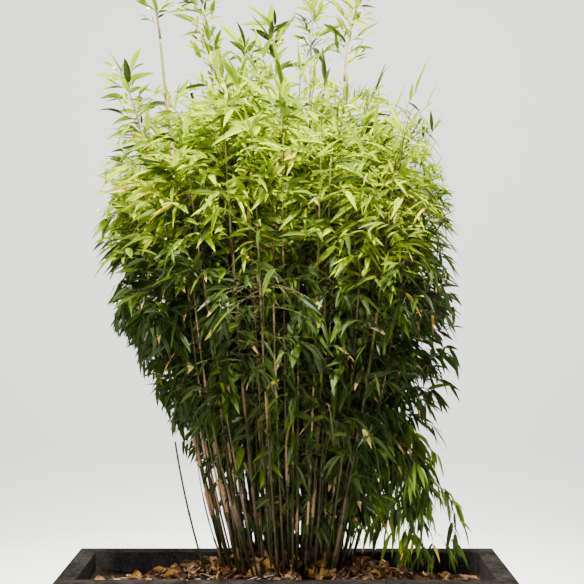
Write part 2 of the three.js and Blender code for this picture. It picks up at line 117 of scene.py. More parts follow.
# The tiers of sprays: number, turn, height and how much lower towards +X, then how far a stem reaches,
# spreads further towards +X, rises, nods and drapes towards +X
TIERS = {
    "skirt": (5, 0, 0.47, 0.07, 0.12, 0.05, 0.13, 0.17, 0.3),
    "middle": (6, 0.5, 0.69, 0, 0.17, 0, 0.3, 0.08, 0),
    "upper": (5, 0.25, 0.95, 0, 0.17, 0, 0.31, 0.06, 0),
    "canopy": (4, 0.5, 1.13, 0, 0.09, 0, 0.33, 0.03, 0),
}
TIER_SWAY = 0.04
CANE_ASIDE = 0.8
SEAT_TOP_SHARE = 0.92
STEM_FOOT = 0.014
STEM_RADIUS = 0.0022
STEM_TAPER = 0.45
TIP_RADIUS = 0.0009
TWIG_RADIUS = 0.0013
FINE_TWIG_RADIUS = 0.0008
TWIG_TAPER = 0.5
CREST_COUNT = 3
CREST_LENGTH = 0.19
TUFT_LENGTH = 0.29
TIP_NOD = 0.045
SHOOT_LENGTH = 0.13
SLEEVE_LENGTH = 0.42
BARE_LEADER = 1
WEST_SPRAYS = 3
WEST_LOWEST = 1.2

# The twigs on each kind of stem: how many, how long, how far they lean ahead, how they sag, and whether they
# stand all round it
TWIG_SETS = {
    "main": (9, 0.18, 0.35, 0.35, False),
    "crest": (8, 0.1, 0.8, 0.15, True),
    "tuft": (18, 0.055, 0.9, 0.1, True),
    "shoot": (4, 0.06, 1.0, 0.1, True),
    "sleeve": (28, 0.05, 0.8, 0.1, True),
    "drape": (20, 0.19, 0.6, 0.6, True),
    "flank": (16, 0.19, 0.5, 0.45, True),
}
FINE_TWIGS = 3
FINE_SHARE = 0.5
FINE_SPREAD = 0.8
FINE_SHORTEST = 0.022
# How far beyond its end each twig needs room for a leaf, on the stems' own twigs and on the others
MAIN_CLEAR = 0.03
TWIG_CLEAR = 0.02

# The leaves on each kind of twig: how many, how long, where along it the first and the last stand, and how
# wide they are, as a share of the usual breadth
LEAF_HANDS = {
    "low": (4, 0.072, 1.0, 0.7, 1.0),
    "fine": (5, 0.068, 1.0, 0.6, 1.0),
    "crest": (4, 0.075, 1.0, 0.2, 1.0),
    "shoot": (4, 0.072, 1.0, 0.2, 1.0),
    "sleeve": (3, 0.068, 1.0, 0.3, 1.15),
    "tuft": (4, 0.068, 1.0, 0.2, 1.2),
    "tip": (4, 0.075, 0.95, 0.75, 1.0),
    "spear": (1, 0.11, 1.0, 0.6, 0.4),
}
# The leaves at the tips stand up, and the rest thin out at the top of the crown
TIP_LIMPNESS = -0.6
THIN_HEIGHTS = (1.8, 1.95)
THIN_SHARES = (1.0, 0.5)

# The outer canes at the front and the back show between the leaves, as seen from this far off
SHOWN_CANES = 44
SHOWN_FROM = 3.8
SHOWN_HALF = 0.011
SHOWN_SHARE = 0.85

# The crown's edge
CROWN_HALF = np.array([0.59, 0.56])
CROWN_WIDEST = 0.9
CROWN_TOP = 1.64
CROWN_FOOT_SHARE = 0.2
CROWN_EAST_SHARE = 0.86
RIM_CLEAR = 0.014
WALL_CLEAR = 0.04

UP = np.array([0.0, 0.0, 1.0])


def dice(a, b):
    """A number from 0 to 1 that is always the same for the same two numbers: the broken part of a sine."""
    s = np.sin(np.asarray(a) * 12.9898 + np.asarray(b) * 78.233) * 43758.5453
    return s - np.floor(s)


def sway(a, b):
    """A number from -1 to 1, by the same rule."""
    return 2 * dice(a, b) - 1


def unit(vectors):
    return vectors / np.maximum(np.linalg.norm(vectors, axis=-1, keepdims=True), 1e-9)


def turned(vectors, axes, angles):
    """Vectors turned about unit axes: v cos a + (k x v) sin a + k (k . v)(1 - cos a)."""
    c, s = np.cos(angles)[..., None], np.sin(angles)[..., None]
    along = np.sum(axes * vectors, -1, keepdims=True)
    return vectors * c + np.cross(axes, vectors) * s + axes * along * (1 - c)


def on_lines(lines, shares):
    """Places (n, k, 3) and ways on n lines of points (n, m, 3), at shares (n, k) of their length in steps."""
    at = np.clip(shares, 0, 1) * (lines.shape[1] - 1)
    row = np.minimum(at.astype(int), lines.shape[1] - 2)
    line = np.arange(len(lines))[:, None]
    start, end = lines[line, row], lines[line, row + 1]
    return start + (end - start) * (at - row)[..., None], unit(end - start)


# Meshes
def put_mesh(name, points, faces, across=None, sharp=None, smooth=True):
    """A mesh from its points and arrays of faces, each (m, corners). across holds each point's UV, and sharp
    marks the points whose joining edges stay sharp."""
    mesh = bpy.data.meshes.new(name)
    points = points.reshape(-1, 3)
    corners = np.concatenate([face.ravel() for face in faces]).astype(np.int32)
    sizes = np.concatenate([np.full(len(face), face.shape[1]) for face in faces])
    mesh.vertices.add(len(points))
    mesh.vertices.foreach_set("co", points.astype(np.float32).ravel())
    mesh.loops.add(len(corners))
    mesh.loops.foreach_set("vertex_index", corners)
    mesh.polygons.add(len(sizes))
    mesh.polygons.foreach_set("loop_start", (np.cumsum(sizes) - sizes).astype(np.int32))
    mesh.polygons.foreach_set("use_smooth", np.full(len(sizes), smooth))
    if across is not None:
        layer = mesh.uv_layers.new(name="UVMap")
        layer.data.foreach_set("uv", across.reshape(-1, 2)[corners].astype(np.float32).ravel())
    mesh.update(calc_edges=True)
    if sharp is not None:
        ends = np.zeros(2 * len(mesh.edges), np.int32)
        mesh.edges.foreach_get("vertices", ends)
        marks = mesh.attributes.new("sharp_edge", "BOOLEAN", "EDGE")
        marks.data.foreach_set("value", sharp.ravel()[ends.reshape(-1, 2)].all(1))
    piece = bpy.data.objects.new(name, mesh)
    bpy.context.scene.collection.objects.link(piece)
    return piece


def finish_piece(piece, material, nodes=()):
    piece.data.materials.append(material)
    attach(piece, "root")
    if nodes:
        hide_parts(*nodes)


def grid_faces(rows, columns, copies=1, round_=False):
    """The quads of copies of a grid whose points run row by row. A round grid's last column meets its
    first."""
    steps = np.arange(columns if round_ else columns - 1)
    row, column = np.meshgrid(np.arange(rows - 1) * columns, steps, indexing="ij")
    after = (column + 1) % columns
    quads = np.stack([row + column, row + after, row + columns + after, row + columns + column], -1)
    first = (np.arange(copies) * rows * columns)[:, None, None]
    return (quads.reshape(1, -1, 4) + first).reshape(-1, 4)


def ring_caps(rows, sides, copies=1):
    """One face at each end of every tube, the first turned to look backwards."""
    first = np.arange(sides)[::-1]
    last = (rows - 1) * sides + np.arange(sides)
    step = (np.arange(copies) * rows * sides)[:, None]
    return np.concatenate([first[None] + step, last[None] + step])


def sections(lines):
    """The two directions square to lines (n, m, 3) at each point: one level, and one square to both."""
    ways = unit(np.gradient(lines, axis=1))
    upright = np.abs(ways[..., 2:]) > 0.95
    level = unit(np.cross(ways, np.where(upright, np.array([1.0, 0, 0]), UP)))
    return level, np.cross(ways, level)


def tube_points(lines, radii, sides):
    """Round tubes (n, m, sides, 3): line + r (a cos t + b sin t), with a and b square to the line."""
    level, deep = sections(lines)
    turn = 2 * np.pi * np.arange(sides) / sides
    spoke = level[:, :, None] * np.cos(turn)[:, None] + deep[:, :, None] * np.sin(turn)[:, None]
    return lines[:, :, None] + spoke * radii[..., None, None]


def put_tubes(name, lines, radii, sides):
    """Tubes joined into one mesh and closed at both ends."""
    copies, rows = lines.shape[:2]
    faces = [grid_faces(rows, sides, copies, True), ring_caps(rows, sides, copies)]
    return put_mesh(name, tube_points(lines, radii, sides), faces)


# Canes
def sunflower(count, turn):
    """How far out each of a clump's canes stands, as (i / n)^0.5, and its way out by the golden angle."""
    i = np.arange(count)
    angle = i * GOLDEN_ANGLE + turn
    share = np.sqrt((i + 0.5) / count)
    way = np.stack([np.cos(angle), np.sin(angle)], 1)
    lean = way * (LEAN_START * share + (1 - LEAN_START) * share**2)[:, None] * LEAN + (CROWN_DRIFT, 0)
    return i, share, way * share[:, None] * CLUMP_HALF, lean


def cane_facts():
    """The foot, lean, height and radius of every cane of the solids, and which of them are leaders."""
    i, share, foot, lean = sunflower(CANES, CLUMP_TURN)
    height = CANE_HEIGHT + CANE_HEIGHT_SPREAD * sway(i, 1) - OUTER_CANES_LOWER * share**2
    radius = CANE_RADIUS + CANE_RADIUS_SPREAD * dice(i, 2)
    foot[-1], lean[-1], height[-1], radius[-1] = STRAY_FOOT, STRAY_LEAN, STRAY_HEIGHT, STRAY_RADIUS
    leaders = []
    for x, tall in LEADERS:
        off = np.abs(foot[:-1, 0] + lean[:-1, 0] - x)
        off[leaders] = np.inf
        cane = int(np.argmin(off))
        leaders.append(cane)
        lean[cane, 0] = x - foot[cane, 0]
        height[cane] = tall
        radius[cane] = LEADER_RADIUS
    return (foot, lean, height, radius), leaders


def slender_facts():
    """The same for the slender canes, which are thinner, and uneven in how far they lean and how high they
    are. Some are short and lean less, and all are held back by where their tips may stand."""
    i, share, foot, lean = sunflower(SLENDER_CANES, SLENDER_TURN)
    lean = lean * np.stack([0.65 + 0.35 * dice(i, 10), 0.7 + 0.7 * dice(i, 14)], 1)
    height = SLENDER_HEIGHT + SLENDER_HEIGHT_SPREAD * sway(i, 11) - OUTER_CANES_LOWER * share**2
    short = dice(i, 15) < SHORT_SHARE
    height = np.where(short, SHORT_HEIGHT + SHORT_HEIGHT_SPREAD * dice(i, 16), height)
    lean = np.where(short[:, None], SHORT_LEAN * lean, lean)
    lean = np.clip(foot + lean, SLENDER_TIPS_LOW, SLENDER_TIPS_HIGH) - foot
    return foot, lean, height, SLENDER_RADIUS + SLENDER_RADIUS_SPREAD * dice(i, 12)


SOLID_FACTS, LEADING = cane_facts()
FOOT, CANE_LEAN, HEIGHT, RADIUS = (np.concatenate(pair) for pair in zip(SOLID_FACTS, slender_facts()))
ALL_CANES = CANES + SLENDER_CANES
TIP_SHARE = np.where(np.isin(np.arange(ALL_CANES), LEADING), LEADER_TIP_SHARE, CANE_TIP_SHARE)
TIP_SHARE[CANES - 1] = STRAY_TIP_SHARE
BEND = np.append(np.full(CANES, LEAN_BEND), SLENDER_BEND * dice(np.arange(SLENDER_CANES), 13))

# The canes whose tips are carried on: the inner ones, the leaders, and the others but for the last of the
# solid ones, which is bare
INNER = [cane for cane in range(CANES) if cane not in LEADING][:CREST_COUNT]
OTHERS = [cane for cane in range(ALL_CANES) if cane not in (*LEADING, *INNER, CANES - 1)]
CARRIERS = np.array([*INNER, *LEADING, *OTHERS])


def cane_point(cane, share):
    """A cane's middle line: foot + lean s (1 + b (1 - s)), at the height h s above the mound."""
    out = share * (1 + BEND[cane] * (1 - share))
    spot = FOOT[cane] + CANE_LEAN[cane] * np.asarray(out)[..., None]
    rise = MOUND_TOP + SEAT_GAP + HEIGHT[cane] * np.asarray(share)
    return np.concatenate([spot, rise[..., None]], -1)


def cane_radius(cane, share):
    return RADIUS[cane] * (1 - (1 - TIP_SHARE[cane]) * share)


def node_heights(cane):
    """The heights of a cane's nodes over its foot: internodes that lengthen from the foot, then shorten, and
    are of another size on every cane."""
    k = np.arange(24)
    size = INTERNODE * (0.86 + 0.3 * dice(cane, 8))
    shape = (1 - 0.72 * np.exp(-k / 1.5)) * np.maximum(1 - 0.0045 * k**2, 0.3)
    height = np.cumsum(size * shape * (1 + 0.08 * sway(cane + 30, k)))
    return height[height < HEIGHT[cane] - 0.03]


NODES = [node_heights(cane) for cane in range(ALL_CANES)]

# A node in section: how far from it along the cane, and how much stouter the cane is there
NODE_SPOTS = np.array([-0.012, -0.005, -0.0022, 0.0, 0.0022, 0.005, 0.013])
NODE_SWELL = np.array([1.0, 1.05, 1.2, 1.1, 1.3, 1.08, 1.0])
NODE_CLEAR = 0.014
FOOT_SWELL = 1.06
TIP_SWELL = 0.9
CANE_ROWS, CANE_SIDES = 7, 14
SLENDER_ROWS, SLENDER_SIDES = 5, 6


def cane_mesh(cane):
    """One cane: a tube along its middle line, r (1 - c s) swollen by a double ring at every node. U runs
    round it, and V counts the internodes."""
    rows, sides = (CANE_ROWS, CANE_SIDES) if cane < CANES else (SLENDER_ROWS, SLENDER_SIDES)
    nodes = NODES[cane]
    between = np.concatenate([[0], nodes, [HEIGHT[cane]]])
    inner = np.linspace(between[:-1], between[1:], rows)[1:-1].T.ravel()
    inner = inner[np.abs(inner[:, None] - between).min(1) > NODE_CLEAR]
    spots = np.concatenate([[0], inner, (nodes[:, None] + NODE_SPOTS).ravel(), [HEIGHT[cane]]])
    swells = np.concatenate([[FOOT_SWELL], np.ones(len(inner)), np.tile(NODE_SWELL, len(nodes)), [TIP_SWELL]])
    order = np.argsort(spots)
    spots, swells = spots[order], swells[order]
    share = np.clip(spots / HEIGHT[cane], 0, 1)
    radii = cane_radius(cane, share) * swells
    points = tube_points(cane_point(cane, share)[None], radii[None], sides)
    turn = np.broadcast_to(np.arange(sides) / sides, points.shape[1:3])
    count = np.interp(spots, between, np.arange(len(between)))
    across = np.stack([turn, np.broadcast_to(count[:, None], turn.shape)], -1)
    faces = [grid_faces(len(spots), sides, 1, True), ring_caps(len(spots), sides)]
    return points.reshape(-1, 3), across.reshape(-1, 2), *faces


def put_slender_canes():
    """The slender canes joined: each mesh's faces count on from the points before it."""
    meshes = [cane_mesh(cane) for cane in range(CANES, ALL_CANES)]
    before = np.cumsum([0] + [len(points) for points, *_ in meshes])
    points, across = (np.concatenate([mesh[part] for mesh in meshes]) for part in (0, 1))
    faces = [np.concatenate([mesh[part] + start for mesh, start in zip(meshes, before)]) for part in (2, 3)]
    return put_mesh("slender_canes", points, faces, across)


# The sheaths: papery wraps that hold to the lower part of each internode, a little off the cane. Those that
# draw a number from low to high have that age and colour, and above the last none is left
SHEATH_ROWS = 6
SHEATH_COLUMNS = 9
SHEATH_WRAP = 0.95
SHEATH_DRAW = 0.8
LEADER_SHEATH_DRAW = 0.4
SHEATH_OFF = 0.0004
LEADER_SHEATH_OFF = 0.0012
SHEATH_AGES = {
    "fresh": (-1.0, 0.3, (0.6, 0.36, 0.17)),
    "dry": (0.3, 0.6, (0.42, 0.24, 0.11)),
    "old": (0.6, 0.8, (0.12, 0.07, 0.035)),
}


def sheath_points(cane, node, kind):
    """Wraps (n, rows, columns, 3) round the canes: a sleeve whose upper edge runs up to a point on one side,
    as length l (0.75 + 0.25 cos a), and stands a little further off as it rises."""
    start, end = (np.array([NODES[c][k + step] for c, k in zip(cane, node)]) for step in (0, 1))
    seed = cane * 17.3 + node * 3.1 + kind
    length = (end - start) * (0.5 + 0.4 * dice(seed, 3))
    u = np.linspace(-1, 1, SHEATH_COLUMNS)
    v = np.linspace(0, 1, SHEATH_ROWS)
    reach = 0.75 + 0.25 * np.cos(np.pi * u)
    height = start[:, None, None] + 0.001 + (length[:, None] * v)[..., None] * reach
    share = np.clip(height / HEIGHT[cane][:, None, None], 0, 1)
    middle = cane_point(cane[:, None, None], share)
    loose = 1.08 + 0.3 * v[:, None] ** 3 * dice(seed, 5)[:, None, None] + 0.1 * np.abs(u) ** 3
    off = np.where(np.isin(cane, LEADING), LEADER_SHEATH_OFF, SHEATH_OFF)[:, None, None]
    radius = cane_radius(cane[:, None, None], share) * loose + off
    turn = SHEATH_WRAP * np.pi * u[None, None] + (node * np.pi + cane * 1.7)[:, None, None]
    ring = np.stack([np.cos(turn), np.sin(turn), np.zeros_like(turn)], -1)
    return middle + radius[..., None] * ring


def put_sheaths(name, cane, node, kind):
    points = sheath_points(cane, node, kind)
    v, u = np.meshgrid(np.linspace(0, 1, SHEATH_ROWS), np.linspace(0, 1, SHEATH_COLUMNS), indexing="ij")
    across = np.broadcast_to(np.stack([u, v], -1), (*points.shape[:3], 2))
    return put_mesh(name, points, [grid_faces(SHEATH_ROWS, SHEATH_COLUMNS, len(cane))], across)


# Inside and outside the crown
def crown_share(height, east):
    """The crown's half width at a height, as a share: a line up to its widest, then (1 - t^4)^0.5."""
    foot = CROWN_FOOT_SHARE + CROWN_EAST_SHARE * east**4
    low = foot + (1 - foot) * np.clip(height / CROWN_WIDEST, 0, 1)
    t = np.clip((height - CROWN_WIDEST) / (CROWN_TOP - CROWN_WIDEST), 0, 1)
    return np.where(height < CROWN_WIDEST, low, np.sqrt(np.maximum(1 - t**4, 1e-6)))


def crown_depth(spots):
    """How far out in the crown each spot lies, from 0 at its axis to 1 at its edge."""
    height = spots[..., 2] - MOUND_TOP
    x, y = spots[..., 0], spots[..., 1]
    share = crown_share(height, np.maximum(0, x / np.maximum(np.hypot(x, y), 1e-9)))
    drifted = x - CROWN_DRIFT * height / CROWN_WIDEST
    return np.hypot(drifted / (CROWN_HALF[0] * share), y / (CROWN_HALF[1] * share))


def in_crown(spots):
    """Whether each spot lies within the crown's edge and clear of the soil and the rim."""
    over_soil = (np.abs(spots[..., :2]) < SOIL_HIGH[:2] - WALL_CLEAR).all(-1)
    lowest = np.where(over_soil, MOUND_TOP, RIM) + RIM_CLEAR
    height = spots[..., 2] - MOUND_TOP
    return (spots[..., 2] > lowest) & (height < CROWN_TOP) & (crown_depth(spots) < 1)


# Stems, twigs and leaves
def stem_lines():
    """The stems of the tiers' sprays: foot + way r t, rising by r1 t (2 - t) and nodding by r2 t^3. Each is
    seated on the cane that stands furthest out its way, where that one is tall enough and still free."""
    lines, seeds, names = [], [], []
    t = np.linspace(0, 1, 9)[:, None]
    solid_canes = np.arange(CANES)
    for row, (name, facts) in enumerate(TIERS.items()):
        count, turn, height, lower, reach, spread, rise, nod, drape = facts
        used = []
        for k in range(count):
            seed = k + 10 * row + 1
            angle = (k + turn) / count * 2 * math.pi
            way = np.array([math.cos(angle), math.sin(angle), 0])
            east = max(0, way[0]) ** 4
            level = height + TIER_SWAY * sway(seed, 3) - lower * way[0]
            spots = cane_point(solid_canes, np.minimum(level / HEIGHT[:CANES], 1))
            out = spots @ way - CANE_ASIDE * np.abs(spots[:, 0] * way[1] - spots[:, 1] * way[0])
            out[(level > SEAT_TOP_SHARE * HEIGHT[:CANES]) | np.isin(solid_canes, used)] = -np.inf
            cane = int(np.argmax(out))
            used.append(cane)
            foot = spots[cane] + way * (cane_radius(cane, level / HEIGHT[cane]) + STEM_FOOT)
            rises = rise * t * (2 - t) - (nod + drape * east) * t**3
            body = foot + way * (reach + spread * east) * t + UP * rises
            lines.append(np.concatenate([spots[cane][None], body]))
            seeds.append(seed)
            names.append(f"{name}_leaves_{k + 1}")
    return np.array(lines), np.array(seeds), names


def tip_lines(canes, length):
    """The stems that carry canes on: tip + start l t, nodding outward by n t^2."""
    t = np.linspace(0, 1, 10)[None, :, None]
    tip, near = cane_point(canes, np.ones(len(canes))), cane_point(canes, np.full(len(canes), 0.97))
    start = unit(tip - near)[:, None]
    level = np.concatenate([CANE_LEAN[canes], np.zeros((len(canes), 1))], 1)
    size = np.broadcast_to(length, len(canes))[:, None, None]
    return tip[:, None] + start * size * t + unit(level)[:, None] * TIP_NOD * t**2


def twig_lines(place, heading, length, droop, steps=6):
    """Twigs (n, steps, 3): place + heading l t, sagging by d l t^2."""
    t = np.linspace(0, 1, steps)[None, :, None]
    size = length[:, None, None]
    return place[:, None] + heading[:, None] * size * t - UP * droop[:, None, None] * size * t**2


class Parts:
    """A set of things that grow: arrays that go together, named in PARTS, with a row for each thing."""

    PARTS = ()

    def __init__(self, *parts):
        for name, part in zip(self.PARTS, parts):
            setattr(self, name, part)

    def kept(self, which):
        return type(self)(*(getattr(self, part)[which] for part in self.PARTS))


def join_sets(*sets):
    parts = (np.concatenate([getattr(one, part) for one in sets]) for part in sets[0].PARTS)
    return type(sets[0])(*parts)


class Twigs(Parts):
    """A set of twigs: their lines, lengths and seeds, and how limp their leaves hang."""

    PARTS = ("lines", "length", "seed", "limp")

    def stepped(self, steps):
        """The same twigs with another number of points along them."""
        shares = np.broadcast_to(np.linspace(0, 1, steps), (len(self.lines), steps))
        return Twigs(on_lines(self.lines, shares)[0], self.length, self.seed, self.limp)

    def within(self, reach):
        """Each shortened by steps until its end and a leaf beyond it lie in the crown, or left out."""
        foot, ahead = self.lines[:, 0], unit(self.lines[:, -1] - self.lines[:, -2]) * reach
        best = np.zeros(len(foot))
        for size in (0.4, 0.6, 0.8, 1.0):
            end = foot + (self.lines[:, -1] - foot) * size
            best = np.where(in_crown(end) & in_crown(end + ahead), size, best)
        lines = foot[:, None] + (self.lines - foot[:, None]) * best[:, None, None]
        return Twigs(lines, self.length * best, self.seed, self.limp).kept(best > 0)


def spread_twigs(spot, heading, size, seed, sag, steps=6):
    """Twigs from arrays with a row for each stem and a column for each twig on it."""
    spot, heading, size, seed = spot.reshape(-1, 3), heading.reshape(-1, 3), size.ravel(), seed.ravel()
    lines = twig_lines(spot, heading, size, np.full(len(size), sag), steps)
    return Twigs(lines, size, seed, limpness(spot, seed))


def limpness(spots, seeds):
    """How much leaves hang at each spot: most low in the crown, little at its top, uneven between twigs."""
    level = np.interp(spots[..., 2], [0.6, 1.0, 1.3, 1.5, 1.75, 2.0], [1.5, 1.1, 0.7, 0.35, 0.05, -0.35])
    return level * (0.45 + 0.9 * dice(seeds, 105))


def stem_twigs(lines, seeds, count, length, ahead, sag, round_):
    """Twigs off stems: to left and right in turn, or all round by the golden angle, leaning ahead."""
    k = np.arange(count)[None]
    seed = seeds[:, None]
    at = 0.14 + 0.82 * (k + 0.5 * dice(seed, k)) / (count - 0.5)
    place, way = on_lines(lines, at)
    flank = unit(np.cross(way, UP))
    turn = (k * GOLDEN_ANGLE if round_ else (k % 2) * np.pi) + 0.7 * sway(seed, k + 20)
    heading = unit(turned(flank, way, turn) + ahead * way)
    size = length * (1.1 - 0.4 * at) * (0.75 + 0.5 * dice(seed, k + 40))
    return spread_twigs(place, heading, size, seed + 3.7 * k, sag)


def side_twigs(twigs, count, share, spread):
    """Finer twigs off twigs, to left and right in turn, shorter towards the twig's end."""
    k = np.arange(count)[None]
    seed = twigs.seed[:, None]
    at = 0.3 + 0.62 * (k + 0.6 * dice(seed, k + 50)) / count
    place, way = on_lines(twigs.lines, at)
    side = turned(unit(np.cross(way, UP)), way, 0.8 * sway(seed, k + 60))
    hand = np.where(k % 2 == 0, 1.0, -1.0)[..., None]
    heading = unit(way * math.cos(spread) + side * hand * math.sin(spread))
    size = twigs.length[:, None] * share * (1.15 - 0.6 * at) * (0.8 + 0.5 * dice(seed, k + 70))
    return spread_twigs(place, heading, size, seed * 1.31 + 5.1 * k, 0.25, 4)


def node_twigs():
    """Twigs from the nodes of the canes, in threes that turn about the cane, leaning out of the clump. They
    are fewer and shorter low on the cane, shorter near its tip, longer at the clump's sides, and more
    towards +X."""
    cane = np.concatenate([np.full(len(NODES[c]), c) for c in range(ALL_CANES)])
    k = np.concatenate([np.arange(len(NODES[c])) for c in range(ALL_CANES)])
    height = np.concatenate(NODES)
    cane, k, height = (np.repeat(part[:, None], 3, 1) for part in (cane, k, height))
    branch = np.arange(3)[None]
    seed = cane * 7.9 + k * 1.7 + branch * 0.37
    share = height / HEIGHT[cane]
    spot = cane_point(cane, share)
    angle = cane * GOLDEN_ANGLE + k * np.pi + 2.1 * branch + 0.6 * sway(seed, 1)
    level = unit(np.stack([np.cos(angle), np.sin(angle), 0 * angle], -1) + spot * (1, 1, 0) * 1.8)
    heading = unit(level + UP * (0.75 + 0.7 * dice(seed, 2) + 0.6 * share**2)[..., None])
    size = np.interp(height, [0.1, 0.4, 0.8, 1.2], [0.1, 0.17, 0.24, 0.25]) * (0.65 + 0.6 * dice(seed, 3))
    size = size * np.interp(share, [0, 0.6, 0.85, 1], [1.0, 1.0, 0.65, 0.3])
    size = size * (1 + np.clip(np.abs(spot[..., 0]) - 0.08, 0, 0.25) * 2.2)
    likely = np.interp(height, [0.12, 0.2, 0.4, 0.55, 0.9, 1.2], [0.0, 0.12, 0.3, 0.62, 0.75, 1.0])
    keep = dice(seed, 4) < likely * (1 + np.clip(spot[..., 0] / 0.2, 0, 1))
    spot, heading, size, seed, share = (part[keep] for part in (spot, heading, size, seed, share))
    sag = (0.15 + 0.45 * dice(seed, 5)) * (1.1 - 0.6 * share)
    return Twigs(twig_lines(spot, heading, size, sag), size, seed, limpness(spot, seed))


class Leaves(Parts):
    """A set of leaves: root, the way each points, its face, length, breadth, seed and its spray's seed."""

    PARTS = ("root", "along", "face", "length", "breadth", "seed", "spray")

    def spots(self, share):
        """The place at a share of each leaf's length."""
        return self.root + self.along * self.length[:, None] * share


def fan_leaves(twigs, count, length, first, last, wide):
    """A hand of leaves at the end of each twig: the first carries on from it, and the rest stand to left and
    right in turn, further back, all hanging by the twig's limpness. Leaves are slimmer and more uneven in
    size at the top of the crown, and slimmer towards +X. wide scales the breadth of them all."""
    k = np.arange(count)[None]
    seed = twigs.seed[:, None]
    at = first - (first - last) * (k / max(count - 1, 1)) + 0.04 * sway(seed, k + 80)
    root, way = on_lines(twigs.lines, at)
    side = turned(unit(np.cross(way, UP)), way, 0.9 * sway(seed, k + 90))
    hand = np.where(k % 2 == 0, 1.0, -1.0) * np.where(k == 0, 0.25, 0.6 + 0.9 * dice(seed, k + 100))
    hang = twigs.limp[:, None] * (0.4 + 1.1 * dice(seed, k + 110)) + 0.2 * sway(seed, k + 115)
    along = unit(way + side * hand[..., None] - UP * hang[..., None])
    level = unit(np.cross(along, UP))
    face = turned(np.cross(level, along), along, 1.1 * sway(seed, k + 120))
    top = np.clip((root[..., 2] - 1.2) / 0.5, 0, 1)
    size = length * (0.95 + (0.3 + 0.3 * top) * sway(seed, k + 130)) * np.where(k == 0, 1.08, 1.0)
    slim = wide * (0.235 - 0.07 * top - 0.05 * np.clip(root[..., 0] / 0.4, 0, 1))
    breadth = size * slim * (0.85 + 0.3 * dice(seed, k + 140))
    own = seed * 2.3 + k * 0.71
    spray = np.broadcast_to(seed, size.shape)
    ways = (part.reshape(-1, 3) for part in (root, along, face))
    return Leaves(*ways, *(part.ravel() for part in (size, breadth, own, spray)))


# The shares of a leaf's length that have points, and the one where a dry tip starts
LEAF_ROWS = np.array([0.0, 0.09, 0.28, 0.54, 0.8, 1.0])
DRY_TIP_START = 0.72
DRY_SHARE = 0.05
DRY_HIGHEST = 1.75


def leaf_points(leaves, rows):
    """Blades (n, rows, 3, 3): root + along l t, bending down by b l t^2.2, with a half width of the outline
    sin(pi t^0.6)^0.9 behind a short stalk, folded up about the midrib and twisted along their length."""
    t = rows[None, :]
    size, seed = leaves.length[:, None], leaves.seed[:, None]
    bend = 0.1 + 0.22 * dice(seed, 1)
    middle = leaves.root[:, None] + leaves.along[:, None] * (size * t)[..., None]
    middle = middle - UP * (bend * size * t**2.2)[..., None]
    blade = np.clip((t - 0.03) / 0.97, 0, 1)
    outline = np.sin(np.pi * blade**0.6) ** 0.9
    half = leaves.breadth[:, None] / 2 * outline + np.where(t > 0.99, 0.0002, 0.0006)
    wide = np.cross(leaves.along, leaves.face)[:, None]
    twist = 0.7 * sway(seed, 2) * t
    wide = turned(np.broadcast_to(wide, middle.shape), leaves.along[:, None], twist)
    face = turned(np.broadcast_to(leaves.face[:, None], middle.shape), leaves.along[:, None], twist)
    fold = 0.3 + 0.25 * dice(seed, 3)
    edge = (wide * half[..., None])[:, :, None] * np.array([-1.0, 0, 1])[:, None]
    lift = (face * (half * fold)[..., None])[:, :, None] * np.array([1.0, 0, 1])[:, None]
    return middle[:, :, None] + edge + lift


def put_leaves(name, leaves, rows):
    """Leaves joined into one mesh, with a sharp midrib. U runs across each blade and V along it."""
    copies, steps = len(leaves.length), len(rows)
    u, v = np.meshgrid([0.0, 0.5, 1.0], rows)
    across = np.broadcast_to(np.stack([u, v], -1), (copies, steps, 3, 2))
    rib = np.broadcast_to(np.array([False, True, False]), (copies, steps, 3))
    return put_mesh(name, leaf_points(leaves, rows), [grid_faces(steps, 3, copies)], across, rib)


# The kinds of leaf by colour: the upper face, the paler under face, the light let through and its share, and
# the gloss. All but the last are in order, from the darkest. These steps are painted shade and sunlight as
# much as the leaves' own greens: shade and deep stand for leaves in shade, bright and lime for sunlit ones
KINDS = {
    "shade": ((0.016, 0.029, 0.004), (0.03, 0.047, 0.01), (0.07, 0.13, 0.007), 0.14, 0.14),
    "deep": ((0.03, 0.053, 0.0055), (0.05, 0.075, 0.013), (0.14, 0.24, 0.008), 0.2, 0.14),
    "mid": ((0.072, 0.118, 0.008), (0.105, 0.15, 0.02), (0.3, 0.45, 0.007), 0.28, 0.13),
    "fresh": ((0.13, 0.2, 0.01), (0.16, 0.225, 0.022), (0.37, 0.54, 0.006), 0.24, 0.12),
    "bright": ((0.205, 0.295, 0.006), (0.225, 0.315, 0.014), (0.48, 0.66, 0.003), 0.3, 0.07),
    "lime": ((0.32, 0.42, 0.005), (0.33, 0.43, 0.012), (0.6, 0.76, 0.003), 0.34, 0.05),
    "gold": ((0.5, 0.36, 0.03), (0.5, 0.38, 0.08), (0.8, 0.55, 0.04), 0.3, 0.3),
}
GOLD_SHARE = 0.01
# Painted sunlight and shade: the steps rise with height, from leaves shaded low in the crown to sunlit ones
# at its top
PAINTED_LIGHT_HEIGHTS = (0.45, 1.0, 1.25, 1.38, 1.5, 1.65, 1.85, 2.1)
PAINTED_LIGHT_STEPS = (0.3, 0.6, 0.8, 1.5, 3.4, 4.6, 4.5, 3.7)


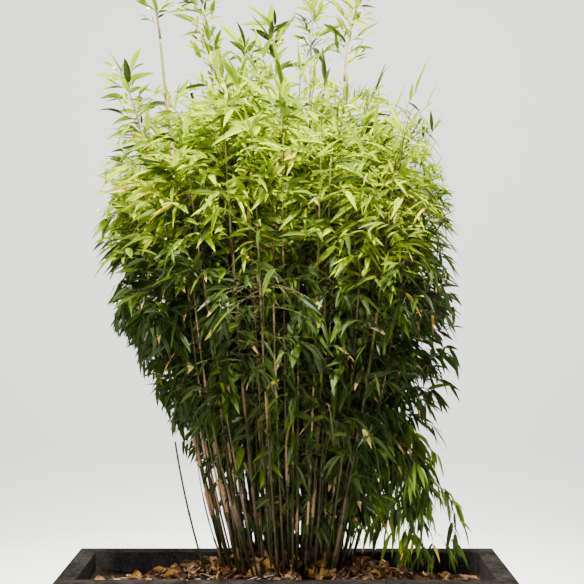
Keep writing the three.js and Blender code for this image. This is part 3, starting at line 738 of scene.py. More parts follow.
def colour_and_light_steps(leaves):
    """Which kind each leaf has, in steps up from the darkest, which are painted light and shade: brighter up
    the crown in patches of painted sunlight, darker with painted shade towards its edge and flanks, brighter
    with painted light let through in the low sprays at +X, and shifted by its spray's dice and its own."""
    order = [name for name in KINDS if name != "gold"]
    x, y, z = leaves.root.T
    # Patches of painted sunlight: the height that sets the step wavers across the crown
    z = z + 0.07 * np.sin(8 * x + 5 * y + 1) + 0.05 * np.sin(17 * x - 11 * y)
    rise = np.interp(z, PAINTED_LIGHT_HEIGHTS, PAINTED_LIGHT_STEPS)
    depth = np.clip(crown_depth(leaves.root), 0, 1)
    # Painted shade towards the crown's edge and lighter within it, most of all low in the crown
    edge = np.interp(z, [1.35, 1.6], [-2.4, -0.6]) * (depth - 0.6)
    # Painted shade on the crown's flanks, far out along X, below its sunlit top
    flank = np.interp(z, [1.35, 1.7], [-4.5, -1.5]) * np.clip(np.abs(x) - 0.15, 0, 0.3)
    # Painted light let through the low sprays that hang at +X
    drape = 2.2 * np.interp(x, [0.2, 0.34], [0, 1]) * np.interp(z, [0.8, 1.05], [1, 0])
    # A spread between sprays and leaves: partly their own tones, partly painted sun and shade among them
    uneven = np.interp(z, [1.3, 1.6, 1.8], [1.15, 2.4, 2.7])
    step = rise + (edge + flank + drape) + uneven * (sway(leaves.spray, 200) + sway(leaves.seed, 201))
    kinds = np.array(order)[np.clip(np.round(step), 0, len(order) - 1).astype(int)]
    kinds[dice(leaves.seed, 202) < GOLD_SHARE] = "gold"
    return kinds


def grow_foliage():
    """All that grows on the canes: the stems, the twigs in two orders, and the leaves at their ends."""
    stems, seeds, names = stem_lines()
    crests, tufts = tip_lines(INNER, CREST_LENGTH), tip_lines(LEADING, TUFT_LENGTH)
    shoots = tip_lines(OTHERS, SHOOT_LENGTH * (0.25 + dice(OTHERS, 17)))
    leafy = np.array([cane for cane in LEADING if cane != LEADING[BARE_LEADER]])
    share = 1 - np.linspace(SLEEVE_LENGTH, 0, 8)[None] / HEIGHT[leafy][:, None]
    upper = cane_point(leafy[:, None], share)
    west = np.argsort(stems[:, -1, 0] + 2 * (stems[:, -1, 2] < WEST_LOWEST))[:WEST_SPRAYS]
    # The stems of each set of twigs, and the numbers that their dice start from
    starts = {
        "main": (stems, seeds),
        "crest": (crests, 50 + np.arange(len(crests))),
        "tuft": (tufts, 60 + np.arange(len(tufts))),
        "shoot": (shoots, 150 + np.arange(len(shoots))),
        "sleeve": (upper, 250 + np.arange(len(upper))),
        "drape": (stems[:1], seeds[:1] + 70),
        "flank": (stems[west], seeds[west] + 80),
    }
    twigs = {name: stem_twigs(*start, *TWIG_SETS[name]) for name, start in starts.items()}
    others = (part.within(TWIG_CLEAR) for part in (twigs["drape"], twigs["flank"], node_twigs()))
    low = join_sets(twigs["main"].within(MAIN_CLEAR), *others)
    fine = side_twigs(low, FINE_TWIGS, FINE_SHARE, FINE_SPREAD).within(TWIG_CLEAR)
    fine = fine.kept(fine.length > FINE_SHORTEST)
    tips = np.concatenate([crests, tufts, shoots])
    count = len(tips)
    ends = Twigs(tips, np.full(count, 0.2), 90 + np.arange(count) * 1.0, np.full(count, TIP_LIMPNESS))
    twigs.update(low=low, fine=fine, tip=ends, spear=ends)
    hands = {name: fan_leaves(twigs[name], *hand) for name, hand in LEAF_HANDS.items()}
    leaves = join_sets(*(hands[name] for name in ("low", "fine", "crest", "shoot", "sleeve")))
    leaves = leaves.kept(in_crown(leaves.spots(1)))
    leaves = leaves.kept(off_canes(leaves.spots(0.45), leaves.seed))
    left = np.interp(leaves.root[:, 2], THIN_HEIGHTS, THIN_SHARES)
    leaves = leaves.kept(dice(leaves.seed, 205) < left)
    leaves = join_sets(leaves, *(hands[name] for name in ("tuft", "tip", "spear")))
    fine = join_sets(*(twigs[name].stepped(3) for name in ("fine", "crest", "tuft", "shoot", "sleeve")))
    return stems, tips, low, fine, leaves, names


def off_canes(spots, seeds):
    """Whether each spot leaves the shown canes free: those are the leaders, and the canes furthest to the
    front and the back. A spot before one, seen as x / (far - |y|) from far off, is mostly left out."""
    middle = cane_point(np.arange(ALL_CANES), np.full(ALL_CANES, 0.6))[:, 1] * (HEIGHT > 1)
    shown = np.union1d(np.argsort(-np.abs(middle))[:SHOWN_CANES], LEADING)
    free = np.ones(len(spots), bool)
    for cane in shown:
        side = -1 if cane in LEADING else np.sign(middle[cane])
        share = np.clip((spots[:, 2] - MOUND_TOP) / HEIGHT[cane], 0, 1)
        place = cane_point(np.full(len(spots), cane), share)
        before = (spots[:, 1] - place[:, 1]) * side > 0
        here, there = (part[:, 0] / (SHOWN_FROM - part[:, 1] * side) for part in (spots, place))
        beside = np.abs(here - there) * SHOWN_FROM < SHOWN_HALF
        under = spots[:, 2] < MOUND_TOP + HEIGHT[cane]
        free &= ~(before & beside & under & (dice(seeds, 400 + cane) < SHOWN_SHARE))
    return free


# The trough
BEVEL = 0.0035
TROUGH_SPACING = 0.011
CHIP = 0.0009
END_INSET = 0.02
FACE_LEVELS = (0.12, 0.2, 0.3, 0.4)
INNER_LEVELS = (0.41, 0.36, 0.2)
# What each row of the trough's profile belongs to
PLAIN, FACE, ARRIS, TOP, INNER_ARRIS = range(5)


def side_places(half, corner, step):
    """Places along a straight side, closer together than step, with each slab joint's four edges exact."""
    places = np.linspace(-half + corner, half - corner, int(2 * half / step))
    if half > SLAB_LENGTH / 2:
        edge = JOINT_WIDTH / 2
        for middle in (-SLAB_LENGTH / 2, SLAB_LENGTH / 2):
            places = places[np.abs(places - middle) > 2.5 * edge]
            places = np.concatenate([places, middle + edge * np.array([-1.15, -0.95, 0.95, 1.15])])
    return np.sort(places)


def trough_ring(inset, corner, xs, ys):
    """A rectangle with rounded corners, inset from the outer faces, anticlockwise from its front left:
    straight places xs and ys, and corners of c (cos t, sin t)."""
    a, b = TROUGH_HIGH[0] - inset, TROUGH_HIGH[1] - inset
    arc = np.linspace(-np.pi / 2, 0, 4)[1:-1]
    sides = []
    for quarter, (near, far, places) in enumerate(((b, a, xs), (a, b, ys), (b, a, xs), (a, b, ys))):
        run = np.clip(places, -far + corner, far - corner)
        straight = np.stack([run, np.full(len(run), -near)], 1)
        bend = np.stack([far - corner + corner * np.cos(arc), -near + corner + corner * np.sin(arc)], 1)
        c, s = math.cos(quarter * math.pi / 2), math.sin(quarter * math.pi / 2)
        sides.append(np.concatenate([straight, bend]) @ np.array([[c, s], [-s, c]]))
    return np.concatenate(sides)


def put_trough():
    """The trough: a profile (inset, height) carried round the rectangle. The joints between slabs sink the
    outer faces and the rims, and the arrises are worn by a small sway along them."""
    xs = side_places(TROUGH_HIGH[0], BEVEL, TROUGH_SPACING)
    ys = side_places(TROUGH_HIGH[1], BEVEL, TROUGH_SPACING)
    deep, soft, middle = JOINT_CUT + BEVEL, BEVEL * 0.3, TROUGH_HIGH[1] - END_INSET
    runs = (
        (PLAIN, [(middle, 0), (0.12, 0), (BEVEL, 0), (soft, soft), (0, BEVEL), (0, FLOOR)]),
        (FACE, [(0, level) for level in (FLOOR + 0.001, *FACE_LEVELS, RIM - deep, RIM - BEVEL)]),
        (ARRIS, [(soft, RIM - soft)]),
        (TOP, [(inset, RIM) for inset in (BEVEL, deep, WALL / 2, WALL - deep, WALL - BEVEL)]),
        (INNER_ARRIS, [(WALL - soft, RIM - soft)]),
        (PLAIN, [(WALL, level) for level in (RIM - BEVEL, RIM - deep, *INNER_LEVELS, FLOOR)]),
        (PLAIN, [(WALL + 0.05, FLOOR), (middle, FLOOR)]),
    )
    rings = []
    for row, (part, inset, height) in enumerate((part, *spot) for part, spots in runs for spot in spots):
        ring = trough_ring(inset, BEVEL, xs, ys)
        seat = np.abs(np.abs(ring[:, 0]) - SLAB_LENGTH / 2) < JOINT_WIDTH / 2
        joint = seat & (np.abs(ring[:, 1]) > TROUGH_HIGH[1] - WALL - 0.001)
        wear = 0.5 + 0.5 * sway(np.arange(len(ring)) * 0.37, row % 3)
        worn = CHIP * wear * (part in (ARRIS, INNER_ARRIS))
        side = np.abs(ring[:, 1]) > TROUGH_HIGH[1] - inset - 0.0005
        sink = np.where(joint & (part in (FACE, ARRIS)), JOINT_CUT, 0) + worn
        ring[:, 1] -= np.sign(ring[:, 1]) * sink * side
        drop = np.where(joint & (part in (ARRIS, TOP, INNER_ARRIS)), JOINT_CUT, 0) + worn
        rings.append(np.column_stack([ring, height - drop]))
    points = np.array(rings)
    rows, sides = points.shape[:2]
    faces = [grid_faces(rows, sides, 1, True), ring_caps(rows, sides)]
    return put_mesh("carved_trough", points, faces, smooth=False)


# The soil and what lies on it
SOIL_CELL = 0.006


def soil_height(x, y):
    """The soil's top: the bed, a mound 0.5 + 0.5 cos of the distance from the clump, and clods on both."""
    reach = np.hypot(x / (MOUND_LENGTH / 2), y / (MOUND_DEPTH / 2))
    mound = np.where(reach < 1.9, 0.5 + 0.5 * np.cos(np.pi * np.clip((reach - 0.75) / 1.15, 0, 1)), 0)
    clods = sum(
        size * np.sin(x * pitch + 2.1 * np.sin(y * pitch * 0.7 + k)) * np.sin(y * pitch * 1.13 + 1.7 * k)
        for k, (size, pitch) in enumerate(((0.004, 23.0), (0.0026, 61.0), (0.0016, 137.0), (0.001, 291.0)))
    )
    return SOIL_TOP + (MOUND_TOP - SOIL_TOP) * mound + clods - 0.002


def put_soil():
    """The bed: a field of heights over the trough's inside, whose edge runs down and closes underneath."""
    columns = int((SOIL_HIGH[0] - SOIL_LOW[0]) / SOIL_CELL)
    rows = int((SOIL_HIGH[1] - SOIL_LOW[1]) / SOIL_CELL)
    x = np.linspace(SOIL_LOW[0], SOIL_HIGH[0], columns)
    y = np.linspace(SOIL_LOW[1], SOIL_HIGH[1], rows)
    grid_x, grid_y = np.meshgrid(x, y)
    grain = 0.0014 * sway(grid_x * 431, grid_y * 977)
    top = np.stack([grid_x, grid_y, soil_height(grid_x, grid_y) + grain], -1).reshape(-1, 3)
    place = np.arange(rows * columns).reshape(rows, columns)
    rim = np.concatenate([place[0], place[1:, -1], place[-1, -2::-1], place[-2:0:-1, 0]])
    low = top[rim] * (1, 1, 0) + (0, 0, SOIL_LOW[2])
    under = len(top) + np.arange(len(rim))
    skirt = np.stack([under, np.roll(under, -1), np.roll(rim, -1), rim], 1)
    faces = [grid_faces(rows, columns), skirt, under[::-1][None]]
    return put_mesh("tilled_soil", np.concatenate([top, low]), faces)


# The kinds of dead leaf: how many lie loose, and their two browns
LITTER_KINDS = {
    "tan": (170, (0.36, 0.21, 0.09), (0.21, 0.115, 0.05)),
    "russet": (150, (0.22, 0.09, 0.038), (0.115, 0.05, 0.023)),
    "umber": (140, (0.085, 0.047, 0.028), (0.043, 0.026, 0.017)),
    "ochre": (60, (0.5, 0.28, 0.045), (0.31, 0.16, 0.035)),
}
CAUGHT = 45
STRAWS = 170
LITTER_ROWS = 7
LITTER_COLUMNS = 6


def litter_spots(count, seed):
    """Places all over the soil: an ellipse, filled as dice^0.5 in x, and by dice of its own in y."""
    i = np.arange(count)
    share = dice(i, seed) ** 0.5
    turn = 2 * np.pi * dice(i, seed + 1)
    x = (SOIL_HIGH[0] - 0.035) * share * np.cos(turn)
    y = (SOIL_HIGH[1] - 0.035) * dice(i, seed + 2) ** 0.5 * np.sin(turn)
    return x, y


def litter_points(count, seed):
    """Dead leaves (n, rows, columns, 3): an ovate outline sin(pi t^0.8)^0.75, curled across by a cosine and
    cupped along by a sine, tipped and turned at random on the soil."""
    x, y = litter_spots(count, seed)
    i = np.arange(count)[:, None, None]
    v = np.linspace(0, 1, LITTER_ROWS)[None, :, None]
    u = np.linspace(-1, 1, LITTER_COLUMNS)[None, None, :]
    length = 0.03 + 0.032 * dice(i, seed + 3)
    outline = np.sin(np.pi * np.clip(v, 0.01, 0.99) ** 0.8) ** 0.75
    half = length * (0.26 + 0.14 * dice(i, seed + 4)) * outline
    curl = 1.0 + 1.7 * dice(i, seed + 5)
    across = half * np.sin(u * curl) / curl * 1.4
    lift = half * (1 - np.cos(u * curl)) / curl + 0.16 * length * sway(i, seed + 6) * np.sin(np.pi * v)
    lift = lift + 0.003 * np.sin(9 * v + 5 * u + i)
    shape = np.stack(np.broadcast_arrays((v - 0.5) * length, across, lift), -1)
    bank, pitch, heading = 0.7 * sway(i, seed + 9), 0.55 * sway(i, seed + 8), 6.3 * dice(i, seed + 7)
    for axis, angle in zip(np.eye(3), (bank, pitch, heading)):
        shape = turned(shape, axis, np.broadcast_to(angle, shape.shape[:3]))
    low = shape[..., 2].min((1, 2), keepdims=True)
    pile = 0.001 + 0.012 * dice(i, seed + 10)
    shape[..., 2] += soil_height(x, y)[:, None, None] - 0.6 * low + pile - 0.004
    shape[..., 0] += x[:, None, None]
    shape[..., 1] += y[:, None, None]
    inside = SOIL_HIGH[:2] - 0.004
    shape[..., :2] = np.clip(shape[..., :2], -inside, inside)
    return shape


def caught_points(count, seed):
    """Dead leaves caught among the canes' feet: the same leaves, brought in to the clump and set on end."""
    shape = litter_points(count, seed)
    i = np.arange(count)
    middle = shape.mean((1, 2))
    share, turn = dice(i, seed + 30) ** 0.5, 2 * np.pi * dice(i, seed + 31)
    spot = np.stack([np.cos(turn), np.sin(turn)], 1) * share[:, None] * CLUMP_HALF * 0.95
    rise = MOUND_TOP + 0.012 + 0.1 * dice(i, seed + 32) * (1 - 0.5 * share)
    own = shape - middle[:, None, None]
    axis = np.stack([np.cos(3 * turn), np.sin(3 * turn), 0 * turn], 1)[:, None, None]
    tipped = np.broadcast_to(1.2 + 0.8 * turn[:, None, None], own.shape[:3])
    own = turned(own, axis, tipped)
    return own + np.concatenate([spot, rise[:, None]], 1)[:, None, None]


def straw_lines(count, seed):
    """Bits of straw and fallen sheath: short lines on the soil, bowed up in their middle by a sine."""
    x, y = litter_spots(count, seed)
    i = np.arange(count)
    t = np.linspace(-0.5, 0.5, 5)[None]
    turn = 2 * np.pi * dice(i, seed + 3)[:, None]
    length = (0.03 + 0.06 * dice(i, seed + 4))[:, None]
    rise = (0.25 * sway(i, seed + 5))[:, None]
    spot_x = np.clip(x[:, None] + np.cos(turn) * length * t, SOIL_LOW[0] + 0.01, SOIL_HIGH[0] - 0.01)
    spot_y = np.clip(y[:, None] + np.sin(turn) * length * t, SOIL_LOW[1] + 0.01, SOIL_HIGH[1] - 0.01)
    z = soil_height(spot_x, spot_y) + 0.009 + length * (rise * t + 0.06 * np.cos(np.pi * t))
    return np.stack([spot_x, spot_y, z], -1)


# Materials
COLOUR, FLOAT, VECTOR = "NodeSocketColor", "NodeSocketFloat", "NodeSocketVector"
WHITE = (1.0, 1.0, 1.0, 1.0)


class Nodes:
    """A node tree, with short ways to add to it that give back the sockets that come out."""

    def __init__(self, tree):
        self.tree = tree

    def give(self, node, values):
        """Gives a node its values, each by a name or by the number of an input. One goes to the property of
        that name, or else to the input. Another node's socket is joined, and a colour is made solid."""
        for key, value in values.items():
            if isinstance(key, str) and hasattr(node, key):
                setattr(node, key, value)
                continue
            end = node.inputs[key.replace("_", " ") if isinstance(key, str) else key]
            if isinstance(value, bpy.types.NodeSocket):
                self.tree.links.new(value, end)
            else:
                end.default_value = (*value, 1.0) if end.type == "RGBA" else value

    def add(self, kind, *first, **named):
        node = self.tree.nodes.new(kind)
        self.give(node, {**dict(enumerate(first)), **named})
        return node.outputs

    def math(self, operation, one, other=0.5):
        return self.add("ShaderNodeMath", one, other, operation=operation)[0]

    def scaled(self, vector, by):
        """A vector times another, part by part."""
        return self.add("ShaderNodeVectorMath", vector, by, operation="MULTIPLY")[0]

    def mix(self, share, one, other, blend="MIX"):
        """One colour changed to or by another, by a share."""
        parts = {"Factor": share, "A": one, "B": other}
        return self.add("ShaderNodeMix", data_type="RGBA", blend_type=blend, **parts)["Result"]

    def ramp(self, value, low, high):
        """How far a value is from low to high, from 0 to 1."""
        return self.add("ShaderNodeMapRange", Value=value, From_Min=low, From_Max=high)[0]

    def noise(self, vector, scale, detail, roughness):
        look = {"Scale": scale, "Detail": detail, "Roughness": roughness}
        return self.add("ShaderNodeTexNoise", Vector=vector, **look)["Fac"]

    def use(self, group, vector, **values):
        """Places a group, fed by a vector, with its other inputs as given."""
        return self.add("ShaderNodeGroup", node_tree=group, Vector=vector, **values)


def new_group(name, inputs, outputs):
    """A shader node group with named sockets: (name, kind, value) for inputs, (name, kind) for outputs. It
    comes with the sockets that are given to it, and the node for what comes out."""
    tree = bpy.data.node_groups.new(name, "ShaderNodeTree")
    for label, kind, value in inputs:
        socket = tree.interface.new_socket(name=label, in_out="INPUT", socket_type=kind)
        socket.default_value = value
    for label, kind in outputs:
        tree.interface.new_socket(name=label, in_out="OUTPUT", socket_type=kind)
    nodes = Nodes(tree)
    return nodes, nodes.add("NodeGroupInput"), tree.nodes.new("NodeGroupOutput")


def mottle_group():
    """Two colours mixed by noise at one scale, freckled by finer noise, with the noise also as a height."""
    nodes, given, out = new_group(
        "mottle",
        [("Vector", VECTOR, (0, 0, 0)), ("Colour", COLOUR, WHITE), ("Other", COLOUR, WHITE),
         ("Scale", FLOAT, 10.0), ("Stretch", VECTOR, (1, 1, 1)), ("Freckle", FLOAT, 0.2),
         ("Contrast", FLOAT, 0.35)],
        [("Colour", COLOUR), ("Height", FLOAT), ("Mask", FLOAT)],
    )
    drawn = nodes.scaled(given["Vector"], given["Stretch"])
    broad = nodes.noise(drawn, given["Scale"], 4.0, 0.62)
    fine = nodes.noise(drawn, nodes.math("MULTIPLY", given["Scale"], 7.0), 3.0, 0.7)
    low, high = (nodes.math(way, 0.5, given["Contrast"]) for way in ("SUBTRACT", "ADD"))
    mask = nodes.ramp(broad, low, high)
    mixed = nodes.mix(mask, given["Colour"], given["Other"])
    freckled = nodes.mix(given["Freckle"], mixed, nodes.ramp(fine, 0.3, 0.7), "OVERLAY")
    nodes.give(out, {"Colour": freckled, "Height": nodes.math("ADD", broad, fine), "Mask": mask})
    return nodes.tree


def fibre_group():
    """Fine streaks along V of a UV map: noise drawn out along it darkens a colour and lifts a height."""
    nodes, given, out = new_group(
        "fibre",
        [("Vector", VECTOR, (0, 0, 0)), ("Colour", COLOUR, WHITE), ("Count", FLOAT, 30.0),
         ("Length", FLOAT, 2.0), ("Depth", FLOAT, 0.4)],
        [("Colour", COLOUR), ("Height", FLOAT)],
    )
    pair = nodes.add("ShaderNodeCombineXYZ", X=given["Count"], Y=given["Length"], Z=1.0)[0]
    streak = nodes.ramp(nodes.noise(nodes.scaled(given["Vector"], pair), 1.0, 2.0, 0.5), 0.35, 0.65)
    shade = nodes.math("MULTIPLY", streak, given["Depth"])
    dark = nodes.mix(shade, given["Colour"], (0.45, 0.42, 0.36), "MULTIPLY")
    nodes.give(out, {"Colour": dark, "Height": streak})
    return nodes.tree


def grime_and_shade_group():
    """Grime and painted shade on what faces up, broken by noise: the colour goes towards the darker one's."""
    nodes, given, out = new_group(
        "grime_and_shade",
        [("Vector", VECTOR, (0, 0, 0)), ("Colour", COLOUR, WHITE), ("Dust", COLOUR, WHITE),
         ("Amount", FLOAT, 0.5)],
        [("Colour", COLOUR)],
    )
    normal = nodes.add("ShaderNodeNewGeometry")["Normal"]
    up = nodes.ramp(nodes.add("ShaderNodeSeparateXYZ", normal)["Z"], 0.1, 0.8)
    broken = nodes.ramp(nodes.noise(given["Vector"], 14.0, 5.0, 0.7), 0.25, 0.65)
    amount = nodes.math("MULTIPLY", nodes.math("MULTIPLY", up, broken), given["Amount"])
    nodes.give(out, {"Colour": nodes.mix(amount, given["Colour"], given["Dust"])})
    return nodes.tree


MOTTLE, FIBRE, GRIME_AND_SHADE = mottle_group(), fibre_group(), grime_and_shade_group()


class Paint(Nodes):
    """A material's nodes, with places on the piece and its UV map as sockets."""

    def __init__(self, name):
        self.material = bpy.data.materials.new(name)
        self.material.use_nodes = True
        super().__init__(self.material.node_tree)
        self.face = self.tree.nodes["Principled BSDF"]
        source = self.add("ShaderNodeTexCoord")
        self.place, self.across = source["Object"], source["UV"]

    def relief(self, height, strength, distance):
        self.give(self.face, {
            "Normal": self.add("ShaderNodeBump", Height=height, Strength=strength, Distance=distance)[0],
        })

    def finish(self, **values):
        """Hands over the material, with its surface's values set or joined."""
        self.give(self.face, values)
        return self.material


def mottled_material(name, look, roughness, gloss, relief):
    """A matt material of two colours in patches, and relief (strength, depth) from the same noise."""
    paint = Paint(name)
    body = paint.use(MOTTLE, paint.place, **look)
    paint.relief(body["Height"], *relief)
    return paint.finish(Base_Color=body["Colour"], Roughness=roughness, Specular_IOR_Level=gloss)


def soil_material():
    """Dark crumbly soil with paler crumbs."""
    look = {"Colour": (0.005, 0.0037, 0.003), "Other": (0.02, 0.013, 0.0085), "Scale": 60.0, "Freckle": 0.7}
    return mottled_material("crumbly_soil", {**look, "Contrast": 0.2}, 0.95, 0.02, (0.8, 0.003))


def litter_material(name, colour, other):
    """A dead leaf: two browns in patches, matt."""
    look = {"Colour": colour, "Other": other, "Scale": 45.0, "Freckle": 0.5}
    return mottled_material(f"litter_{name}", look, 0.75, 0.15, (0.4, 0.0015))


def twig_material(name, colour, other):
    """A thin twig: two greens or browns in patches along it."""
    look = {"Colour": colour, "Other": other, "Scale": 22.0, "Freckle": 0.3}
    return mottled_material(name, look, 0.6, 0.12, (0.2, 0.0005))


def stone_material():
    """Cast stone: charcoal with pale grit, and darker where it faces up, with grime and painted shade."""
    paint = Paint("cast_stone")
    body = paint.use(MOTTLE, paint.place, Colour=(0.015, 0.014, 0.0132), Other=(0.03, 0.0278, 0.026),
                     Scale=19.0, Freckle=0.55, Contrast=0.22)
    grit = paint.add("ShaderNodeTexVoronoi", Vector=paint.place, Scale=420.0)
    pale = paint.ramp(paint.add("ShaderNodeSeparateColor", grit["Color"])[0], 0.86, 0.94)
    flecks = paint.mix(pale, body["Colour"], (0.045, 0.042, 0.039))
    # Grime and painted shade darken the faces that look up, such as the rim's top, against the light from
    # above
    worn = paint.use(GRIME_AND_SHADE, paint.place, Colour=flecks, Dust=(0.0035, 0.0031, 0.0028), Amount=0.92)
    rough = paint.add("ShaderNodeMapRange", Value=body["Mask"], To_Min=0.72, To_Max=0.95)[0]
    paint.relief(paint.math("ADD", body["Height"], grit["Distance"]), 0.5, 0.0012)
    return paint.finish(Base_Color=worn["Colour"], Roughness=rough, Specular_IOR_Level=0.0)


def cane_material():
    """A living cane: green mottled with olive, streaked along, paler under each node, and darker and browner
    towards the foot, partly its own brown and partly painted shade under the crown."""
    paint = Paint("living_cane")
    body = paint.use(MOTTLE, paint.place, Colour=(0.13, 0.17, 0.03), Other=(0.3, 0.29, 0.07), Scale=24.0,
                     Freckle=0.3, Stretch=(1.0, 1.0, 0.25))
    # Darker towards the foot: partly the cane's own brown, partly painted shade under the crown
    low = paint.ramp(paint.add("ShaderNodeSeparateXYZ", paint.place)["Z"], 1.65, 0.8)
    browned_and_shaded = paint.mix(paint.math("MULTIPLY", low, 0.94), body["Colour"], (0.02, 0.019, 0.005))
    along = paint.math("FRACT", paint.add("ShaderNodeSeparateXYZ", paint.across)["Y"])
    bloom = paint.math("MULTIPLY", paint.ramp(along, 0.86, 0.97), 0.25)
    waxed = paint.mix(bloom, browned_and_shaded, (0.2, 0.2, 0.08))
    grain = paint.use(FIBRE, paint.across, Colour=waxed, Count=26.0, Length=1.2, Depth=0.4)
    paint.relief(grain["Height"], 0.25, 0.0004)
    return paint.finish(Base_Color=grain["Colour"], Roughness=0.42, Specular_IOR_Level=0.14, Coat_Weight=0.02)


def papery_material(name, colour, other):
    """Dry sheath or straw: two pale browns, streaked along by fibres."""
    paint = Paint(name)
    body = paint.use(MOTTLE, paint.place, Colour=colour, Other=other, Scale=30.0, Freckle=0.35)
    grain = paint.use(FIBRE, paint.across, Colour=body["Colour"], Count=34.0, Length=1.5, Depth=0.6)
    paint.relief(grain["Height"], 0.35, 0.0004)
    return paint.finish(Base_Color=grain["Colour"], Roughness=0.7)


def blade_material(name, upper, under, glow, through, gloss):
    """A leaf's blade: its colour mottled a little and veined along, paler underneath, with a share of the
    light from behind let through."""
    paint = Paint(f"blade_{name}")
    upper = np.array(upper)
    body = paint.use(MOTTLE, paint.place, Colour=upper * 0.78, Other=np.minimum(upper * 1.25, 1),
                     Scale=16.0, Freckle=0.15)
    veins = paint.use(FIBRE, paint.across, Colour=body["Colour"], Count=46.0, Length=0.8, Depth=0.16)
    face = paint.mix(paint.add("ShaderNodeNewGeometry")["Backfacing"], veins["Colour"], under)
    paint.relief(veins["Height"], 0.15, 0.0003)
    paint.finish(Base_Color=face, Roughness=0.4, Specular_IOR_Level=gloss)
    behind = paint.add("ShaderNodeBsdfTranslucent", Color=glow)[0]
    both = paint.add("ShaderNodeMixShader", through, paint.face.outputs[0], behind)[0]
    paint.give(paint.tree.nodes["Material Output"], {"Surface": both})
    return paint.material


def studio_material(name, colour):
    """The floor's plain matt paint, with the faintest unevenness."""
    paint = Paint(name)
    other = tuple(c * 0.985 for c in colour)
    body = paint.use(MOTTLE, paint.place, Colour=colour, Other=other, Scale=2.0, Freckle=0.0)
    return paint.finish(Base_Color=body["Colour"], Roughness=0.9)


# Putting the plant together
def put_canes():
    """The canes, each in place of its solid, the slender canes, and their sheaths by how old they look: the
    lower on the cane, the older."""
    living = cane_material()
    for cane in range(CANES):
        points, across, *faces = cane_mesh(cane)
        piece = put_mesh(f"fine_cane_{cane + 1:02d}", points, faces, across)
        finish_piece(piece, living, [f"cane_{cane + 1:02d}"])
    finish_piece(put_slender_canes(), living)
    pairs = np.array([(cane, k) for cane in range(ALL_CANES) for k in range(len(NODES[cane]) - 1)])
    most = np.where(np.isin(pairs[:, 0], LEADING), LEADER_SHEATH_DRAW, SHEATH_DRAW)
    older = np.interp(pairs[:, 1], [0, 3, 6], [0.54, 0.2, -0.06])
    draw = dice(pairs[:, 0] * 3.3, pairs[:, 1] + 0.5) * most + older
    for kind, (age, (low, high, colour)) in enumerate(SHEATH_AGES.items()):
        cane, node = pairs[(draw >= low) & (draw < high)].T
        paper = papery_material(f"sheath_{age}", colour, tuple(0.65 * c for c in colour))
        finish_piece(put_sheaths(f"sheaths_{age}", cane, node, kind), paper)


def put_foliage():
    """Stems, twigs and leaves, joined by kind. The stems' piece takes the place of all the masses' solids."""
    stems, tips, low, fine, leaves, names = grow_foliage()
    names = names + [f"crest_leaves_{k + 1}" for k in range(CREST_COUNT)]
    names = names + [f"tip_leaves_{k + 1}" for k in range(len(LEADERS))]
    woody = twig_material("twig_woody", (0.05, 0.05, 0.013), (0.1, 0.08, 0.03))
    green = twig_material("twig_green", (0.065, 0.092, 0.015), (0.14, 0.14, 0.035))
    taper = np.linspace(1, STEM_TAPER, stems.shape[1])
    bough = put_tubes("spray_stems", stems, np.broadcast_to(STEM_RADIUS * taper, stems.shape[:2]), 8)
    finish_piece(bough, woody, names)
    steps = np.linspace(0, 1, tips.shape[1])
    slim = cane_radius(CARRIERS, 1)[:, None] * (1 - steps) + TIP_RADIUS * steps
    tan = papery_material("young_sheath", (0.52, 0.32, 0.15), (0.34, 0.26, 0.1))
    leading = np.isin(CARRIERS, LEADING)
    finish_piece(put_tubes("leader_tips", tips[leading], slim[leading], 8), tan)
    finish_piece(put_tubes("tip_stems", tips[~leading], slim[~leading], 5), green)
    layers = (("twigs", low, TWIG_RADIUS, woody), ("fine_twigs", fine, FINE_TWIG_RADIUS, green))
    for name, twigs, thick, material in layers:
        taper = np.linspace(1, TWIG_TAPER, twigs.lines.shape[1])
        radii = thick * (0.8 + 0.4 * dice(twigs.seed, 300))[:, None] * taper
        finish_piece(put_tubes(name, twigs.lines, radii, 3), material)
    put_blades(leaves)


def put_blades(leaves):
    """The leaves, one piece to each kind. Those with dry tips end early, and the tips are their own piece."""
    kinds = colour_and_light_steps(leaves)
    dry = (dice(leaves.seed, 203) < DRY_SHARE) & (leaves.root[:, 2] < DRY_HIGHEST)
    for name, look in KINDS.items():
        mine = kinds == name
        material = blade_material(name, *look)
        finish_piece(put_leaves(f"leaves_{name}", leaves.kept(mine & ~dry), LEAF_ROWS), material)
        if (mine & dry).any():
            rows = np.append(LEAF_ROWS[LEAF_ROWS < DRY_TIP_START], DRY_TIP_START)
            finish_piece(put_leaves(f"leaves_{name}_tipped", leaves.kept(mine & dry), rows), material)
    tip_rows = np.append(DRY_TIP_START, LEAF_ROWS[LEAF_ROWS > DRY_TIP_START])
    scorched = papery_material("dry_tip", (0.45, 0.28, 0.07), (0.3, 0.17, 0.05))
    finish_piece(put_leaves("dry_tips", leaves.kept(dry), tip_rows), scorched)


def put_ground():
    """The soil, the dead leaves and the straw on it, in place of the bed's solid."""
    finish_piece(put_soil(), soil_material(), ["soil_and_litter"])
    for kind, (name, (count, *browns)) in enumerate(LITTER_KINDS.items()):
        points = litter_points(count, 400 + 20 * kind)
        points = np.concatenate([points, caught_points(CAUGHT, 600 + 40 * kind)])
        faces = [grid_faces(LITTER_ROWS, LITTER_COLUMNS, len(points))]
        piece = put_mesh(f"dead_leaves_{name}", points, faces)
        finish_piece(piece, litter_material(name, *browns))
    lines = straw_lines(STRAWS, 500)
    radii = (0.0007 + 0.0012 * dice(np.arange(len(lines)), 501))[:, None] * np.array([0.5, 1, 1.1, 0.9, 0.4])
    straw = papery_material("straw", (0.5, 0.4, 0.24), (0.3, 0.21, 0.11))
    finish_piece(put_tubes("straw", lines, radii, 5), straw)


# The studio
CAMERA_PLACE = (0.018, -3.79, 1.321)
LENS = 73.2
SENSOR = 36.0
FLOOR_RADIUS = 6.0
FLOOR_BEND = 2.0
WALL_TOP = 6.0
FLOOR_SIDES = 72
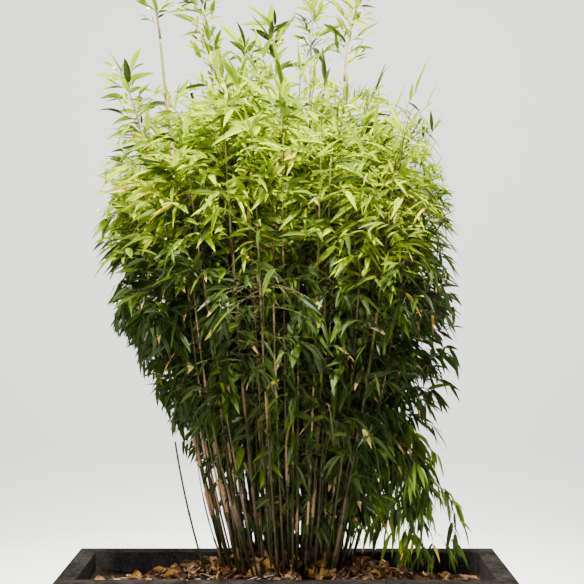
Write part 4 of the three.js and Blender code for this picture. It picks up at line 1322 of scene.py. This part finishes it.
# The lights: place, size, power, colour, how far each opens in degrees, and what it faces
LIGHTS = {
    "back_light": ((-1.6, 4.6, 5.8), 0.5, 175, (1.0, 0.96, 0.8), 60, (0, 0, 1.3)),
    "top_light": ((-0.1, -1.8, 5.1), 0.4, 220, (1.0, 0.98, 0.9), 70, (0, 0, 1.3)),
    "front_light": ((-2.2, -4.2, 2.8), 0.7, 40, (0.97, 0.99, 1.0), 90, (0, 0, 1.3)),
    "wall_light": ((0.0, 1.5, 5.5), 2.5, 700, (1.0, 1.0, 1.0), 150, (0, 7, 1.5)),
}


def put_camera():
    camera = bpy.data.objects.new("camera", bpy.data.cameras.new("camera"))
    camera.data.lens = LENS
    camera.data.sensor_width = SENSOR
    camera.location = CAMERA_PLACE
    camera.rotation_euler = (math.pi / 2, 0, 0)
    bpy.context.scene.collection.objects.link(camera)
    bpy.context.scene.camera = camera


def put_light(name, place, size, power, colour, spread, target):
    """A soft square light that faces a target, and opens by the spread in degrees."""
    light = bpy.data.objects.new(name, bpy.data.lights.new(name, "AREA"))
    light.data.size = size
    light.data.energy = power
    light.data.color = colour
    light.location = place
    light.data.spread = math.radians(spread)
    east, north, up = np.array(target) - np.array(place)
    tilt = math.atan2(math.hypot(east, north), -up)
    light.rotation_euler = (tilt, 0, math.atan2(north, east) - math.pi / 2)
    bpy.context.scene.collection.objects.link(light)


def bowl_points(columns):
    """The studio: a flat floor that curves up all round into a wall, its profile carried round the vertical:
    out r and up 0, then r + b sin a and b (1 - cos a), then straight up."""
    bend = np.linspace(0, np.pi / 2, 13)
    out = np.concatenate([[1.0, 3.0], FLOOR_RADIUS + FLOOR_BEND * np.sin(bend), [FLOOR_RADIUS + FLOOR_BEND]])
    rise = np.concatenate([[0.0, 0.0], FLOOR_BEND * (1 - np.cos(bend)), [WALL_TOP]])
    turn = 2 * np.pi * np.arange(columns) / columns
    return np.stack([out[:, None] * np.cos(turn), out[:, None] * np.sin(turn), rise[:, None] + 0 * turn], -1)


def put_studio():
    points = bowl_points(FLOOR_SIDES)
    faces = [grid_faces(len(points), FLOOR_SIDES, 1, True)[:, ::-1], np.arange(FLOOR_SIDES)[None]]
    floor = put_mesh("studio_floor", points, faces)
    floor.data.materials.append(studio_material("studio_paint", (0.82, 0.82, 0.8)))
    world = bpy.data.worlds.new("studio")
    world.use_nodes = True
    world.node_tree.nodes["Background"].inputs["Color"].default_value = (0.9, 0.93, 1.0, 1)
    world.node_tree.nodes["Background"].inputs["Strength"].default_value = 0.2
    bpy.context.scene.world = world
    for name, facts in LIGHTS.items():
        put_light(name, *facts)


put_camera()
finish_piece(put_trough(), stone_material(), ["stone_trough"])
put_ground()
put_canes()
put_foliage()
put_studio()
